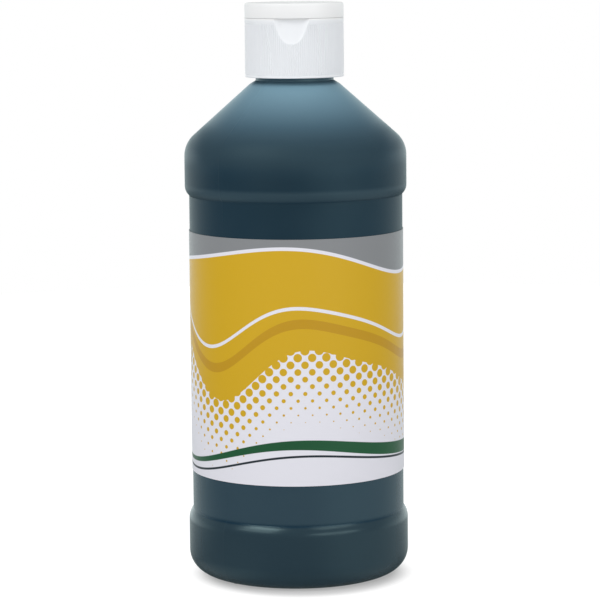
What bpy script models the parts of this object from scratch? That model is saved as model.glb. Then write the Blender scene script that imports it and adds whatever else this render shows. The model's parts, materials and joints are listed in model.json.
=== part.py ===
"""A squeeze bottle of tempera paint with a screw-on snap-top cap.

Lengths are in metres and +Z is up. The origin is the centre of the base, on the table.
The thumb scoop of the cap faces -Y, and the hinge of its lid is at +Y.
"""

import math

import bmesh
import bpy
from mathutils import Matrix, Vector

MM = 0.001
GAP = 0.3 * MM  # clearance kept between pieces that touch

# Bottle: outside of a blow-moulded body
WIDE_RADIUS = 35.5 * MM  # heel and shoulder band
PANEL_RADIUS = 34.15 * MM  # recessed panel that takes the label
BODY_WALL = 1.0 * MM
STAND_INNER_RADIUS = 25.5 * MM
BASE_RISE = 3.0 * MM  # push-up in the middle of the base
HEEL_ROUND = 7.4 * MM
HEEL_TOP = 17.4 * MM
HEEL_STEP_ROUNDS = (5.6 * MM, 0.3 * MM)  # convex, concave
BAND_BOTTOM = 125.6 * MM
BAND_STEP_ROUNDS = (4.0 * MM, 0.4 * MM)  # convex, concave
BAND_TOP = 135.0 * MM
SHOULDER_ROUND = 9.0 * MM
SHOULDER_SLOPE = math.radians(41.6)  # cone above the horizontal
BODY_SIDES = 48

# Neck: a 28 mm screw finish
NECK_RADIUS = 12.45 * MM
NECK_BORE_RADIUS = 10.85 * MM
NECK_FILLET = 0.2 * MM
LEDGE_RADIUS = 14.4 * MM  # where the cone gives way to the flatter ledge round the neck
LEDGE_SLOPE = math.radians(31.6)
RIM_TOP = 176.0 * MM
RIM_CHAMFER = 0.5 * MM

# Paint and label
FILL_LEVEL = 139.7 * MM
LABEL_BOTTOM = 33.9 * MM
LABEL_TOP = 111.4 * MM
LABEL_THICKNESS = 0.15 * MM
LABEL_LAP = math.radians(14.0)  # overlap at the back
LABEL_RAMP = math.radians(12.0)  # stretch that climbs onto the overlap
LABEL_END = math.radians(97.0)  # where the outer end stops, measured from +X

# Cap base: skirt, deck and spout
CAP_RADIUS = 15.75 * MM
CAP_BOTTOM = 160.1 * MM
SEAM = 178.8 * MM  # parting between cap base and lid
EDGE_CHAMFER = 0.35 * MM
RIB_COUNT = 150
RIB_DEPTH = 0.25 * MM
RIB_BOTTOM = CAP_BOTTOM + 1.2 * MM
RIB_TOP = SEAM - 2.0 * MM
SKIRT_BORE_RADIUS = 14.0 * MM
SKIRT_BORE_TOP = SEAM - 5.5 * MM
COLLAR_BORE_RADIUS = 12.9 * MM
COLLAR_BOTTOM = SEAM - 4.3 * MM
DECK_UNDERSIDE = 177.4 * MM
DECK_TOP = 178.7 * MM
SNAP_RING_RADIUS = 13.7 * MM
SNAP_RING_INNER_RADIUS = 12.6 * MM
SNAP_RING_TOP = SEAM + 1.3 * MM
SNAP_BEAD = 0.12 * MM  # how far the bead on the ring stands out
SNAP_BEAD_HEIGHT = SEAM + 0.75 * MM
SPOUT_FOOT_RADIUS = 4.4 * MM
SPOUT_LIP_RADIUS = 3.7 * MM
SPOUT_TOP = SEAM + 2.0 * MM
ORIFICE_RADIUS = 2.6 * MM
CAP_SIDES = 50  # divides RIB_COUNT

# Thumb scoop: a shield-shaped hollow in the skirt, deepest under the lid
SCOOP_HALF_WIDTH = 5.8 * MM
SCOOP_DROP = 8.3 * MM  # reach below the seam
SCOOP_DEPTH = 1.35 * MM
SCOOP_FLATNESS = 4  # power of the hollow's cross-section: higher is flatter, with steeper ends
SCOOP_TAPER = 0.84  # power by which the hollow narrows towards its foot
SCOOP_RISE = 1.2  # power by which it gets shallower towards its foot
SCOOP_OVERRUN = 1.15  # width of its cutter, as a multiple of the hollow's
SCOOP_ROWS = 12
SCOOP_COLUMNS = 16

# Lid
LID_TOP = 183.6 * MM
LID_ROUND = 0.9 * MM
LID_BORE_RADIUS = 14.25 * MM
LID_THICKNESS = 1.3 * MM
LID_BEAD = 0.12 * MM  # how far the lid's own bead stands in, under the ring's
LID_BEAD_HEIGHT = SEAM + 0.4 * MM
PLUG_ROOT_RADIUS = 2.2 * MM
PLUG_TIP_RADIUS = 1.9 * MM
PLUG_TIP = SEAM + 0.7 * MM
LID_SIDES = 60

# Living hinge: a folding film and two spring straps on a flat at the back
HINGE_FLAT = 14.95 * MM
HINGE_FLAT_REACH = (3.5 * MM, 3.0 * MM)  # below and above the seam
HINGE_FLAT_HALF_WIDTH = 6.5 * MM
FILM_FACE = HINGE_FLAT + GAP
FILM_HALF_WIDTH = 2.5 * MM
FILM_HALF_HEIGHT = 2.6 * MM
FILM_PAD_THICKNESS = 0.45 * MM
FILM_FOLD_THICKNESS = 0.2 * MM
FILM_FOLD_HALF_HEIGHT = 0.5 * MM
STRAP_NEAR_X = 3.2 * MM
STRAP_FAR_X = 5.4 * MM
STRAP_HALF_HEIGHT = 3.1 * MM
STRAP_THICKNESS = 0.45 * MM
STRAP_BOW = 0.3 * MM
STRAP_WAIST = 0.4  # share of its width that a strap loses at its middle
HINGE_AXIS = Vector((0.0, FILM_FACE + FILM_FOLD_THICKNESS / 2, SEAM))

# Sealing washer between the neck's rim and the deck
WASHER_RADIUS = 12.55 * MM
WASHER_BORE_RADIUS = 9.2 * MM
WASHER_SIDES = 48


# Profiles: lists of (radius, height) points


def arc(centre, radius, start, end, pieces):
    """Points along a circular arc between two angles, given in radians from the outward direction."""
    angles = [start + (end - start) * i / pieces for i in range(pieces + 1)]
    return [
        (centre[0] + radius * math.cos(a), centre[1] + radius * math.sin(a))
        for a in angles
    ]


def step_sweep(rounds):
    """Angle that two tangent arcs turn through to cross from the wide radius to the panel."""
    depth = WIDE_RADIUS - PANEL_RADIUS
    return math.acos(1 - depth / sum(rounds))


def step_height(rounds):
    return sum(rounds) * math.sin(step_sweep(rounds))


def heel_step():
    """From the heel wall up and in to the panel."""
    convex, concave = HEEL_STEP_ROUNDS
    sweep = step_sweep(HEEL_STEP_ROUNDS)
    top = HEEL_TOP + step_height(HEEL_STEP_ROUNDS)
    outer = arc((WIDE_RADIUS - convex, HEEL_TOP), convex, 0, sweep, 3)
    inner = arc((PANEL_RADIUS + concave, top), concave, math.pi + sweep, math.pi, 2)
    return outer + inner[1:]


def band_step():
    """From the panel up and out to the shoulder band."""
    convex, concave = BAND_STEP_ROUNDS
    sweep = step_sweep(BAND_STEP_ROUNDS)
    bottom = BAND_BOTTOM - step_height(BAND_STEP_ROUNDS)
    inner = arc((PANEL_RADIUS + concave, bottom), concave, math.pi, math.pi - sweep, 2)
    outer = arc((WIDE_RADIUS - convex, BAND_BOTTOM), convex, -sweep, 0, 2)
    return inner + outer[1:]


def shoulder():
    """Round from the band into the cone, the cone, and the ledge up to the foot of the neck."""
    lean = math.pi / 2 - SHOULDER_SLOPE
    turn = arc((WIDE_RADIUS - SHOULDER_ROUND, BAND_TOP), SHOULDER_ROUND, 0, lean, 4)
    start_radius, start_height = turn[-1]
    ledge_height = start_height + (start_radius - LEDGE_RADIUS) * math.tan(SHOULDER_SLOPE)
    ledge_lean = math.pi / 2 - LEDGE_SLOPE
    fillet_centre_radius = NECK_RADIUS + NECK_FILLET
    foot_radius = fillet_centre_radius - NECK_FILLET * math.cos(ledge_lean)
    foot_height = ledge_height + (LEDGE_RADIUS - foot_radius) * math.tan(LEDGE_SLOPE)
    centre = (fillet_centre_radius, foot_height + NECK_FILLET * math.sin(ledge_lean))
    fillet = arc(centre, NECK_FILLET, math.pi + ledge_lean, math.pi, 2)
    return turn + [(LEDGE_RADIUS, ledge_height)] + fillet


def base_dome(stand_radius, stand_height, rise, pieces):
    """Push-up from the centre of the base out to the standing ring."""
    points = []
    for i in range(pieces + 1):
        t = i / pieces
        points.append((stand_radius * t, stand_height + rise * math.cos(t * math.pi / 2)))
    return points


def body_outside():
    """Outer surface of the bottle from the middle of the base up to the foot of the neck."""
    heel_centre = (WIDE_RADIUS - HEEL_ROUND, HEEL_ROUND)
    heel = arc(heel_centre, HEEL_ROUND, -math.pi / 2, 0, 4)
    return base_dome(STAND_INNER_RADIUS, 0.0, BASE_RISE, 3) + heel + heel_step() + band_step() + shoulder()


def moved_in(profile, distance):
    """The profile shifted to its inner side, each point along the mean normal of its two edges."""
    shifted = []
    for i, (radius, height) in enumerate(profile):
        before = profile[max(i - 1, 0)]
        after = profile[min(i + 1, len(profile) - 1)]
        along = Vector((after[0] - before[0], after[1] - before[1])).normalized()
        inward = Vector((-along.y, along.x))
        shifted.append((max(radius + inward.x * distance, 0.0), height + inward.y * distance))
    shifted[0] = (0.0, profile[0][1] + distance)
    return shifted


def body_inside(distance):
    """Inner surface at a depth below the outside, cut off where it would meet the neck's bore."""
    inner = moved_in(body_outside(), distance)
    return [p for p in inner if p[1] < BAND_TOP or p[0] > NECK_BORE_RADIUS + BODY_WALL]


# Mesh helpers


def finish_piece(name, mesh_builder, material):
    """Turns a bmesh into a named, smooth-shaded object with its material."""
    mesh = bpy.data.meshes.new(name)
    mesh_builder.to_mesh(mesh)
    mesh_builder.free()
    mesh.shade_smooth()
    mesh.set_sharp_from_angle(angle=math.radians(35))
    mesh.materials.append(material)
    piece = bpy.data.objects.new(name, mesh)
    bpy.context.scene.collection.objects.link(piece)
    return piece


def put_origin(piece, point):
    """Moves a piece's origin to a point without moving its shape."""
    piece.data.transform(Matrix.Translation(-Vector(point)))
    piece.location = point


def spin_profile(profile, sides, closed=False):
    """Turns a profile about the Z axis into a closed bmesh."""
    builder = bmesh.new()
    verts = [builder.verts.new((radius, 0.0, height)) for radius, height in profile]
    pairs = list(zip(verts, verts[1:]))
    if closed:
        pairs.append((verts[-1], verts[0]))
    edges = [builder.edges.new(pair) for pair in pairs]
    bmesh.ops.spin(
        builder,
        geom=verts + edges,
        axis=(0, 0, 1),
        cent=(0, 0, 0),
        angle=2 * math.pi,
        steps=sides,
        use_merge=True,
    )
    bmesh.ops.remove_doubles(builder, verts=builder.verts, dist=0.002 * MM)
    bmesh.ops.recalc_face_normals(builder, faces=builder.faces)
    return builder


def extruded(outline, direction):
    """A closed prism on a flat outline of 3-D points."""
    builder = bmesh.new()
    face = builder.faces.new([builder.verts.new(p) for p in outline])
    grown = bmesh.ops.extrude_face_region(builder, geom=[face])
    top = [v for v in grown["geom"] if isinstance(v, bmesh.types.BMVert)]
    bmesh.ops.translate(builder, verts=top, vec=direction)
    bmesh.ops.recalc_face_normals(builder, faces=builder.faces)
    return builder


def make_cutter(name, mesh_builder):
    mesh = bpy.data.meshes.new(name)
    mesh_builder.to_mesh(mesh)
    mesh_builder.free()
    cutter = bpy.data.objects.new(name, mesh)
    cutter.hide_render = True
    cutter.display_type = "WIRE"
    bpy.context.scene.collection.objects.link(cutter)
    return cutter


def cut(piece, cutter):
    modifier = piece.modifiers.new("cut_" + cutter.name, "BOOLEAN")
    modifier.operation = "DIFFERENCE"
    modifier.solver = "EXACT"
    modifier.object = cutter


def make_material(name, colour, roughness):
    material = bpy.data.materials.new(name)
    material.use_nodes = True
    shader = material.node_tree.nodes["Principled BSDF"]
    shader.inputs["Base Color"].default_value = (*colour, 1.0)
    shader.inputs["Roughness"].default_value = roughness
    shader.inputs["Metallic"].default_value = 0.0
    return material


# Pieces


def make_bottle(material):
    """Blow-moulded shell: push-up base, heel, recessed panel, shoulder band, cone and neck."""
    neck = [
        (NECK_RADIUS, RIM_TOP - RIM_CHAMFER),
        (NECK_RADIUS - RIM_CHAMFER, RIM_TOP),
        (NECK_BORE_RADIUS, RIM_TOP),
    ]
    inner = body_inside(BODY_WALL)
    bore_foot = (NECK_BORE_RADIUS, inner[-1][1] + (inner[-1][0] - NECK_BORE_RADIUS))
    profile = body_outside() + neck + [bore_foot] + inner[::-1]
    return finish_piece("bottle", spin_profile(profile, BODY_SIDES), material)


def make_paint(material):
    """The fill, with a level top just above the shoulder band."""
    wall = body_inside(BODY_WALL + GAP)
    below = [p for p in wall if p[1] < FILL_LEVEL]
    low, high = below[-1], wall[len(below)]
    share = (FILL_LEVEL - low[1]) / (high[1] - low[1])
    edge_radius = low[0] + share * (high[0] - low[0])
    profile = below + [(edge_radius, FILL_LEVEL), (0.0, FILL_LEVEL)]
    return finish_piece("paint", spin_profile(profile, BODY_SIDES), material)


def make_label(material):
    """One strip wrapped round the panel, whose outer end climbs over its inner end at the back."""
    inner_radius = PANEL_RADIUS + GAP
    climb = LABEL_THICKNESS + GAP
    wrap = 2 * math.pi + LABEL_LAP
    pieces = BODY_SIDES + 4
    inner, outer = [], []
    for i in range(pieces + 1):
        travelled = wrap * i / pieces
        climbed = (travelled - (2 * math.pi - LABEL_RAMP)) / LABEL_RAMP
        radius = inner_radius + climb * min(max(climbed, 0.0), 1.0)
        angle = LABEL_END - wrap + travelled
        for side, reach in ((inner, radius), (outer, radius + LABEL_THICKNESS)):
            side.append((reach * math.cos(angle), reach * math.sin(angle), LABEL_BOTTOM))
    strip = extruded(inner + outer[::-1], Vector((0, 0, LABEL_TOP - LABEL_BOTTOM)))
    return finish_piece("wrap_label", strip, material)


def ring(builder, radius, height, sides, turn=0.0):
    """A ring of vertices about the Z axis."""
    angles = [2 * math.pi * (i + turn) / sides for i in range(sides)]
    return [
        builder.verts.new((radius * math.cos(a), radius * math.sin(a), height))
        for a in angles
    ]


def stitch(builder, lower, upper):
    """Faces between two rings, one of which may have a whole number of times as many vertices."""
    few, many = sorted((lower, upper), key=len)
    ratio = len(many) // len(few)
    for i in range(len(few)):
        fan = [many[(i * ratio + k) % len(many)] for k in range(ratio + 1)]
        builder.faces.new([few[(i + 1) % len(few)], few[i], *fan])


def stitch_ribs(builder, lower, upper):
    """V-shaped grooves between two plain rings, closed at both ends, that leave a rib at each vertex."""
    root = CAP_RADIUS - RIB_DEPTH
    low_roots = ring(builder, root, RIB_BOTTOM, RIB_COUNT, turn=0.5)
    high_roots = ring(builder, root, RIB_TOP, RIB_COUNT, turn=0.5)
    for i in range(RIB_COUNT):
        j = (i + 1) % RIB_COUNT
        builder.faces.new([lower[i], low_roots[i], high_roots[i], upper[i]])
        builder.faces.new([low_roots[i], lower[j], upper[j], high_roots[i]])
        builder.faces.new([lower[i], lower[j], low_roots[i]])
        builder.faces.new([upper[i], high_roots[i], upper[j]])


def cap_base_shell():
    """Ribbed skirt, ledge, snap ring, dished deck and spout, turned as one closed wall."""
    builder = bmesh.new()
    skirt_foot = ring(builder, CAP_RADIUS - EDGE_CHAMFER, CAP_BOTTOM, RIB_COUNT)
    foot_band = ring(builder, CAP_RADIUS, CAP_BOTTOM + EDGE_CHAMFER, RIB_COUNT)
    rib_foot = ring(builder, CAP_RADIUS, RIB_BOTTOM, RIB_COUNT)
    rib_head = ring(builder, CAP_RADIUS, RIB_TOP, RIB_COUNT)
    ledge_edge = ring(builder, CAP_RADIUS, SEAM - GAP / 2, RIB_COUNT)
    stitch(builder, skirt_foot, foot_band)
    stitch(builder, foot_band, rib_foot)
    stitch_ribs(builder, rib_foot, rib_head)
    stitch(builder, rib_head, ledge_edge)
    inside = [
        (SNAP_RING_RADIUS, SEAM - GAP / 2),
        (SNAP_RING_RADIUS, SNAP_BEAD_HEIGHT - 2 * SNAP_BEAD),
        (SNAP_RING_RADIUS + SNAP_BEAD, SNAP_BEAD_HEIGHT),
        (SNAP_RING_RADIUS, SNAP_RING_TOP - EDGE_CHAMFER),
        (SNAP_RING_RADIUS - EDGE_CHAMFER, SNAP_RING_TOP),
        (SNAP_RING_INNER_RADIUS, SNAP_RING_TOP),
        (SNAP_RING_INNER_RADIUS, DECK_TOP),
        (SPOUT_FOOT_RADIUS, DECK_TOP),
        (SPOUT_LIP_RADIUS, SPOUT_TOP - EDGE_CHAMFER),
        (SPOUT_LIP_RADIUS - EDGE_CHAMFER, SPOUT_TOP),
        (ORIFICE_RADIUS, SPOUT_TOP),
        (ORIFICE_RADIUS, DECK_UNDERSIDE),
        (COLLAR_BORE_RADIUS, DECK_UNDERSIDE),
        (COLLAR_BORE_RADIUS, COLLAR_BOTTOM),
        (SKIRT_BORE_RADIUS, SKIRT_BORE_TOP),
        (SKIRT_BORE_RADIUS, CAP_BOTTOM + EDGE_CHAMFER),
        (SKIRT_BORE_RADIUS + EDGE_CHAMFER, CAP_BOTTOM),
    ]
    rings = [ring(builder, radius, height, CAP_SIDES) for radius, height in inside]
    for lower, upper in zip([ledge_edge, *rings], [*rings, skirt_foot]):
        stitch(builder, lower, upper)
    bmesh.ops.recalc_face_normals(builder, faces=builder.faces)
    bmesh.ops.triangulate(builder, faces=[f for f in builder.faces if len(f.verts) > 4])
    return builder


def scoop_section(builder, height, half_width, depth):
    """Level section of the scoop's cutter: the hollow's floor, and back along an arc outside the skirt."""
    floor, outside = [], []
    for i in range(SCOOP_COLUMNS + 1):
        across = SCOOP_OVERRUN * (2 * i / SCOOP_COLUMNS - 1)
        angle = across * half_width / CAP_RADIUS
        sunk = depth * (1 - abs(across) ** SCOOP_FLATNESS)
        for row, radius in ((floor, CAP_RADIUS - sunk), (outside, CAP_RADIUS + SCOOP_DEPTH)):
            row.append(builder.verts.new((radius * math.sin(angle), -radius * math.cos(angle), height)))
    return floor + outside[::-1]


def scoop_cutter():
    """Sections that narrow and rise out of the skirt towards the foot of the thumb scoop."""
    builder = bmesh.new()
    clear_of_ledge = SEAM + 1.0 * MM
    sections = [scoop_section(builder, clear_of_ledge, SCOOP_HALF_WIDTH, SCOOP_DEPTH)]
    for i in range(SCOOP_ROWS):
        left = 1 - i / SCOOP_ROWS
        height = SEAM - SCOOP_DROP * (1 - left**2)
        half_width = SCOOP_HALF_WIDTH * left**SCOOP_TAPER
        sections.append(scoop_section(builder, height, half_width, SCOOP_DEPTH * left**SCOOP_RISE))
    for upper, lower in zip(sections, sections[1:]):
        stitch(builder, lower, upper)
    builder.faces.new(sections[0])
    builder.faces.new(sections[-1])
    bmesh.ops.recalc_face_normals(builder, faces=builder.faces)
    return make_cutter("thumb_scoop_cutter", builder)


def hinge_flat_cutter():
    """Block that planes a flat for the hinge on the back of the cap base and the lid."""
    below, above = HINGE_FLAT_REACH
    depth = CAP_RADIUS - HINGE_FLAT + GAP
    size = Vector((2 * HINGE_FLAT_HALF_WIDTH, depth, below + above))
    centre = Vector((0, HINGE_FLAT + depth / 2, SEAM + (above - below) / 2))
    builder = bmesh.new()
    bmesh.ops.create_cube(builder, size=1.0)
    place = Matrix.Translation(centre) @ Matrix.Diagonal((*size, 1.0))
    bmesh.ops.transform(builder, matrix=place, verts=builder.verts)
    return make_cutter("hinge_flat_cutter", builder)


def make_cap_base(material, flat):
    base = finish_piece("cap_base", cap_base_shell(), material)
    cut(base, scoop_cutter())
    cut(base, flat)
    return base


def make_lid(material, flat):
    """Shallow cup with a rounded top edge and a tapered plug that stops the spout."""
    underside = LID_TOP - LID_THICKNESS
    corner = arc((CAP_RADIUS - LID_ROUND, LID_TOP - LID_ROUND), LID_ROUND, math.pi / 2, 0, 4)
    profile = [
        (0.0, LID_TOP),
        *corner,
        (CAP_RADIUS, SEAM + GAP / 2),
        (LID_BORE_RADIUS, SEAM + GAP / 2),
        (LID_BORE_RADIUS - LID_BEAD, LID_BEAD_HEIGHT),
        (LID_BORE_RADIUS, LID_BEAD_HEIGHT + 2 * LID_BEAD),
        (LID_BORE_RADIUS, underside - EDGE_CHAMFER),
        (LID_BORE_RADIUS - EDGE_CHAMFER, underside),
        (PLUG_ROOT_RADIUS + EDGE_CHAMFER, underside),
        (PLUG_ROOT_RADIUS, underside - EDGE_CHAMFER),
        (PLUG_TIP_RADIUS, PLUG_TIP + EDGE_CHAMFER),
        (PLUG_TIP_RADIUS - EDGE_CHAMFER, PLUG_TIP),
        (0.0, PLUG_TIP),
    ]
    lid = finish_piece("flip_lid", spin_profile(profile, LID_SIDES), material)
    cut(lid, flat)
    return lid


def make_hinge_film(material):
    """Two pads joined by a thin fold line on the seam."""
    pad = FILM_FACE + FILM_PAD_THICKNESS
    fold = FILM_FACE + FILM_FOLD_THICKNESS
    side = [
        (FILM_FACE, -FILM_HALF_HEIGHT),
        (pad, -FILM_HALF_HEIGHT),
        (pad, -FILM_FOLD_HALF_HEIGHT),
        (fold, -FILM_FOLD_HALF_HEIGHT / 2),
        (fold, FILM_FOLD_HALF_HEIGHT / 2),
        (pad, FILM_FOLD_HALF_HEIGHT),
        (pad, FILM_HALF_HEIGHT),
        (FILM_FACE, FILM_HALF_HEIGHT),
    ]
    outline = [(-FILM_HALF_WIDTH, y, SEAM + z) for y, z in side]
    film = extruded(outline, Vector((2 * FILM_HALF_WIDTH, 0, 0)))
    return finish_piece("hinge_film", film, material)


def make_hinge_strap(name, side, material):
    """Strap beside the film, bowed and waisted, that snaps the lid open and shut."""
    builder = bmesh.new()
    pieces = 8
    middle = side * (STRAP_NEAR_X + STRAP_FAR_X) / 2
    sections = []
    for i in range(pieces + 1):
        along = -1 + 2 * i / pieces
        bulge = 1 - along**2
        half_width = (STRAP_FAR_X - STRAP_NEAR_X) / 2 * (1 - STRAP_WAIST * bulge)
        inner = FILM_FACE + STRAP_BOW * bulge
        outer = inner + STRAP_THICKNESS
        corners = [(-half_width, inner), (half_width, inner), (half_width, outer), (-half_width, outer)]
        height = SEAM + along * STRAP_HALF_HEIGHT
        sections.append([builder.verts.new((middle + x, y, height)) for x, y in corners])
    for lower, upper in zip(sections, sections[1:]):
        stitch(builder, lower, upper)
    builder.faces.new(sections[0])
    builder.faces.new(sections[-1])
    bmesh.ops.recalc_face_normals(builder, faces=builder.faces)
    return finish_piece(name, builder, material)


def make_washer(material):
    """Foam ring that the deck presses onto the neck's rim."""
    profile = [
        (WASHER_BORE_RADIUS, RIM_TOP + GAP),
        (WASHER_RADIUS, RIM_TOP + GAP),
        (WASHER_RADIUS, DECK_UNDERSIDE - GAP),
        (WASHER_BORE_RADIUS, DECK_UNDERSIDE - GAP),
    ]
    builder = spin_profile(profile, WASHER_SIDES, closed=True)
    return finish_piece("sealing_washer", builder, material)


def main():
    for old in list(bpy.data.objects):
        bpy.data.objects.remove(old)
    bottle_plastic = make_material("bottle_plastic", (0.024, 0.050, 0.072), 0.42)
    paint_colour = make_material("paint", (0.010, 0.022, 0.032), 0.30)
    label_film = make_material("label_film", (0.66, 0.44, 0.06), 0.35)
    cap_plastic = make_material("cap_plastic", (0.82, 0.84, 0.86), 0.38)
    washer_foam = make_material("washer_foam", (0.78, 0.78, 0.76), 0.80)

    make_bottle(bottle_plastic)
    make_paint(paint_colour)
    make_label(label_film)
    flat = hinge_flat_cutter()
    cap_base = make_cap_base(cap_plastic, flat)
    lid = make_lid(cap_plastic, flat)
    make_hinge_film(cap_plastic)
    make_hinge_strap("left_hinge_strap", -1, cap_plastic)
    make_hinge_strap("right_hinge_strap", 1, cap_plastic)
    washer = make_washer(washer_foam)

    cap_axis = Vector((0.0, 0.0, CAP_BOTTOM))
    put_origin(cap_base, cap_axis)
    put_origin(washer, cap_axis)
    put_origin(lid, HINGE_AXIS)


main()
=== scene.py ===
"""Finished look of a paint squeeze bottle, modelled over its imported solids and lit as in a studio."""

import json
import math
from typing import NamedTuple

import bmesh
import bpy
from bpy.props import (
    FloatProperty,
    FloatVectorProperty,
    IntProperty,
    PointerProperty,
)
from mathutils import Matrix, Vector


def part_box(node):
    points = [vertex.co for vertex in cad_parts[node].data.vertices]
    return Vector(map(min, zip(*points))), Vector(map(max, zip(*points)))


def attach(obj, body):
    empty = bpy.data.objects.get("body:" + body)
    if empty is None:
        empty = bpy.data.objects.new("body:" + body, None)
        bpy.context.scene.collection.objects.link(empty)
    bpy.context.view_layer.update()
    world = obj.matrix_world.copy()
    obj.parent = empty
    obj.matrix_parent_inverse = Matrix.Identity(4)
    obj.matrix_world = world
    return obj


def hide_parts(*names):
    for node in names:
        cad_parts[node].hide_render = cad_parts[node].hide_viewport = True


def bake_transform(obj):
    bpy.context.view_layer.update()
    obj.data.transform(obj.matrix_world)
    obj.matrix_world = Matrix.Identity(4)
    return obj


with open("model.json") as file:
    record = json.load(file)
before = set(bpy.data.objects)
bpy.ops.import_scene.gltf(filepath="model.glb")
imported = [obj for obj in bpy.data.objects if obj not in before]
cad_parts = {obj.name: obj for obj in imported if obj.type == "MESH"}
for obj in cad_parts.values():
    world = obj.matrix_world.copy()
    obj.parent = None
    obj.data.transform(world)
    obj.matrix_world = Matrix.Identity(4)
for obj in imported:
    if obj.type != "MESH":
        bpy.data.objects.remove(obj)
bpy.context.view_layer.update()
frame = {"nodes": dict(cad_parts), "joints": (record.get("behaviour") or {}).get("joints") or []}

bl_info = {
    "name": "Paint Squeeze Bottle",
    "version": (1, 0, 0),
    "blender": (4, 5, 0),
    "location": "View3D > Sidebar > Paint Bottle",
    "description": "Models and finishes a paint squeeze bottle with a snap-top cap",
    "category": "Object",
}

MM = 0.001

# Places taken from the frame
BOTTLE_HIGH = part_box("bottle")[1]
LABEL_LOW, LABEL_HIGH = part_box("wrap_label")
CAP_LOW, CAP_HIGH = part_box("cap_base")
LID_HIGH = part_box("flip_lid")[1]
FILM_LOW, FILM_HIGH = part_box("hinge_film")
PAINT_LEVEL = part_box("paint")[1].z
JOINTS = {joint["name"]: joint for joint in frame["joints"]}
HINGE_AXIS = Vector(JOINTS["lid_flip"]["pos_m"])
SEAM = HINGE_AXIS.z  # height at which the lid parts from the cap


# Property helpers


def length(name, description, default):
    return FloatProperty(
        name=name,
        description=description,
        default=default,
        unit="LENGTH",
        subtype="DISTANCE",
        precision=5,
    )


def span(name, description, start, end):
    """Two lengths: where a change starts and where it ends."""
    return FloatVectorProperty(
        name=name, description=description, default=(start, end), size=2, unit="LENGTH", precision=5
    )


def angle(name, description, degrees):
    return FloatProperty(
        name=name,
        description=description,
        default=math.radians(degrees),
        unit="ROTATION",
        subtype="ANGLE",
    )


def factor(name, description, default):
    return FloatProperty(
        name=name, description=description, default=default, min=0.0, max=1.0, subtype="FACTOR"
    )


def number(name, description, default):
    return FloatProperty(name=name, description=description, default=default, min=0.0)


def whole_number(name, description, default, least):
    return IntProperty(name=name, description=description, default=default, min=least)


def colour(name, description, default):
    return FloatVectorProperty(
        name=name, description=description, default=default, size=3, min=0.0, max=1.0, subtype="COLOR"
    )


# Settings


class PAINTBOTTLE_PG_bottle(bpy.types.PropertyGroup):
    """Sizes of the blow-moulded bottle"""

    wide_radius: length("Wide radius", "Radius of the heel and the shoulder band", BOTTLE_HIGH.x)
    panel_radius: length("Panel radius", "Radius of the recessed panel behind the label", 34.15 * MM)
    wall: length("Wall", "Thickness of the wall", 1.0 * MM)
    stand_radius: length("Stand radius", "Inner radius of the ring it stands on", 25.5 * MM)
    base_rise: length("Base rise", "Height of the push-up in the base", 3.0 * MM)
    heel_round: length("Heel round", "Radius between base and heel", 7.4 * MM)
    heel_top: length("Heel top", "Height where the heel starts to draw in", 17.4 * MM)
    heel_convex: length("Heel bulge", "Outer radius of the step above the heel", 5.6 * MM)
    heel_concave: length("Heel hollow", "Inner radius of the step above the heel", 0.3 * MM)
    band_bottom: length("Band bottom", "Height where the shoulder band is full", 125.6 * MM)
    band_convex: length("Band bulge", "Outer radius of the step below the band", 4.0 * MM)
    band_concave: length("Band hollow", "Inner radius of the step below the band", 0.4 * MM)
    band_top: length("Band top", "Height where the shoulder starts to turn in", 135.0 * MM)
    shoulder_round: length("Shoulder round", "Radius from the band into the cone", 9.0 * MM)
    shoulder_slope: angle("Shoulder slope", "Slope of the cone above the horizontal", 41.6)
    neck_radius: length("Neck radius", "Outside of the neck under its thread", 12.45 * MM)
    ledge_radius: length("Ledge radius", "Where the cone meets the ledge round the neck", 14.4 * MM)
    ledge_slope: angle("Ledge slope", "Slope of the ledge above the horizontal", 31.6)
    ledge_round: length("Ledge round", "Reach of the curve between cone and ledge", 0.5 * MM)
    neck_fillet: length("Neck fillet", "Radius between ledge and neck", 0.2 * MM)
    rim_round: length("Rim round", "Radius on the neck's rim", 0.5 * MM)
    parting_turn: angle("Parting turn", "Turn of the mould's parting plane from front to left", 38.2)
    parting_height: length("Parting height", "Height of the ridge left by the mould", 0.07 * MM)
    parting_width: length("Parting width", "Half the width of that ridge", 0.25 * MM)
    sides: whole_number("Sides", "Sides of each ring", 192, 24)


class PAINTBOTTLE_PG_thread(bpy.types.PropertyGroup):
    """Sizes of the screw thread"""

    pitch: length("Pitch", "Rise in one turn", 4.233 * MM)
    turns: number("Turns", "Length of the thread in turns", 1.5)
    top: length("Top", "Height of the upper end on the neck", 174.4 * MM)
    crest: length("Crest", "Radius of the neck thread's crest", 13.6 * MM)
    half_width: length("Half width", "Half the thread's height at its root", 0.95 * MM)
    crest_share: factor("Crest share", "Width of the crest as a share of the root's", 0.45)
    cap_crest: length("Cap crest", "Radius of the crest of the cap's own thread", 12.85 * MM)
    cap_root: length("Cap root", "Radius of the skirt's bore", 14.0 * MM)
    root_sink: length("Root sink", "How far the roots are let into neck and skirt", 0.2 * MM)
    steps: whole_number("Steps", "Steps in the thread", 120, 24)


class PAINTBOTTLE_PG_label(bpy.types.PropertyGroup):
    """Sizes of the wrap label"""

    radius: length("Radius", "Inner radius of the strip", 34.21 * MM)
    thickness: length("Thickness", "Thickness of the strip", 0.15 * MM)
    climb: length("Climb", "Rise of the outer end over the inner end", 0.2 * MM)
    lap: angle("Lap", "Overlap of the two ends", 14.0)
    ramp: angle("Ramp", "Stretch over which the outer end climbs", 12.0)
    end: angle("End", "Where the outer end stops, measured from +X", 97.0)
    steps: whole_number("Steps", "Steps round the wrap", 260, 48)


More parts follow.
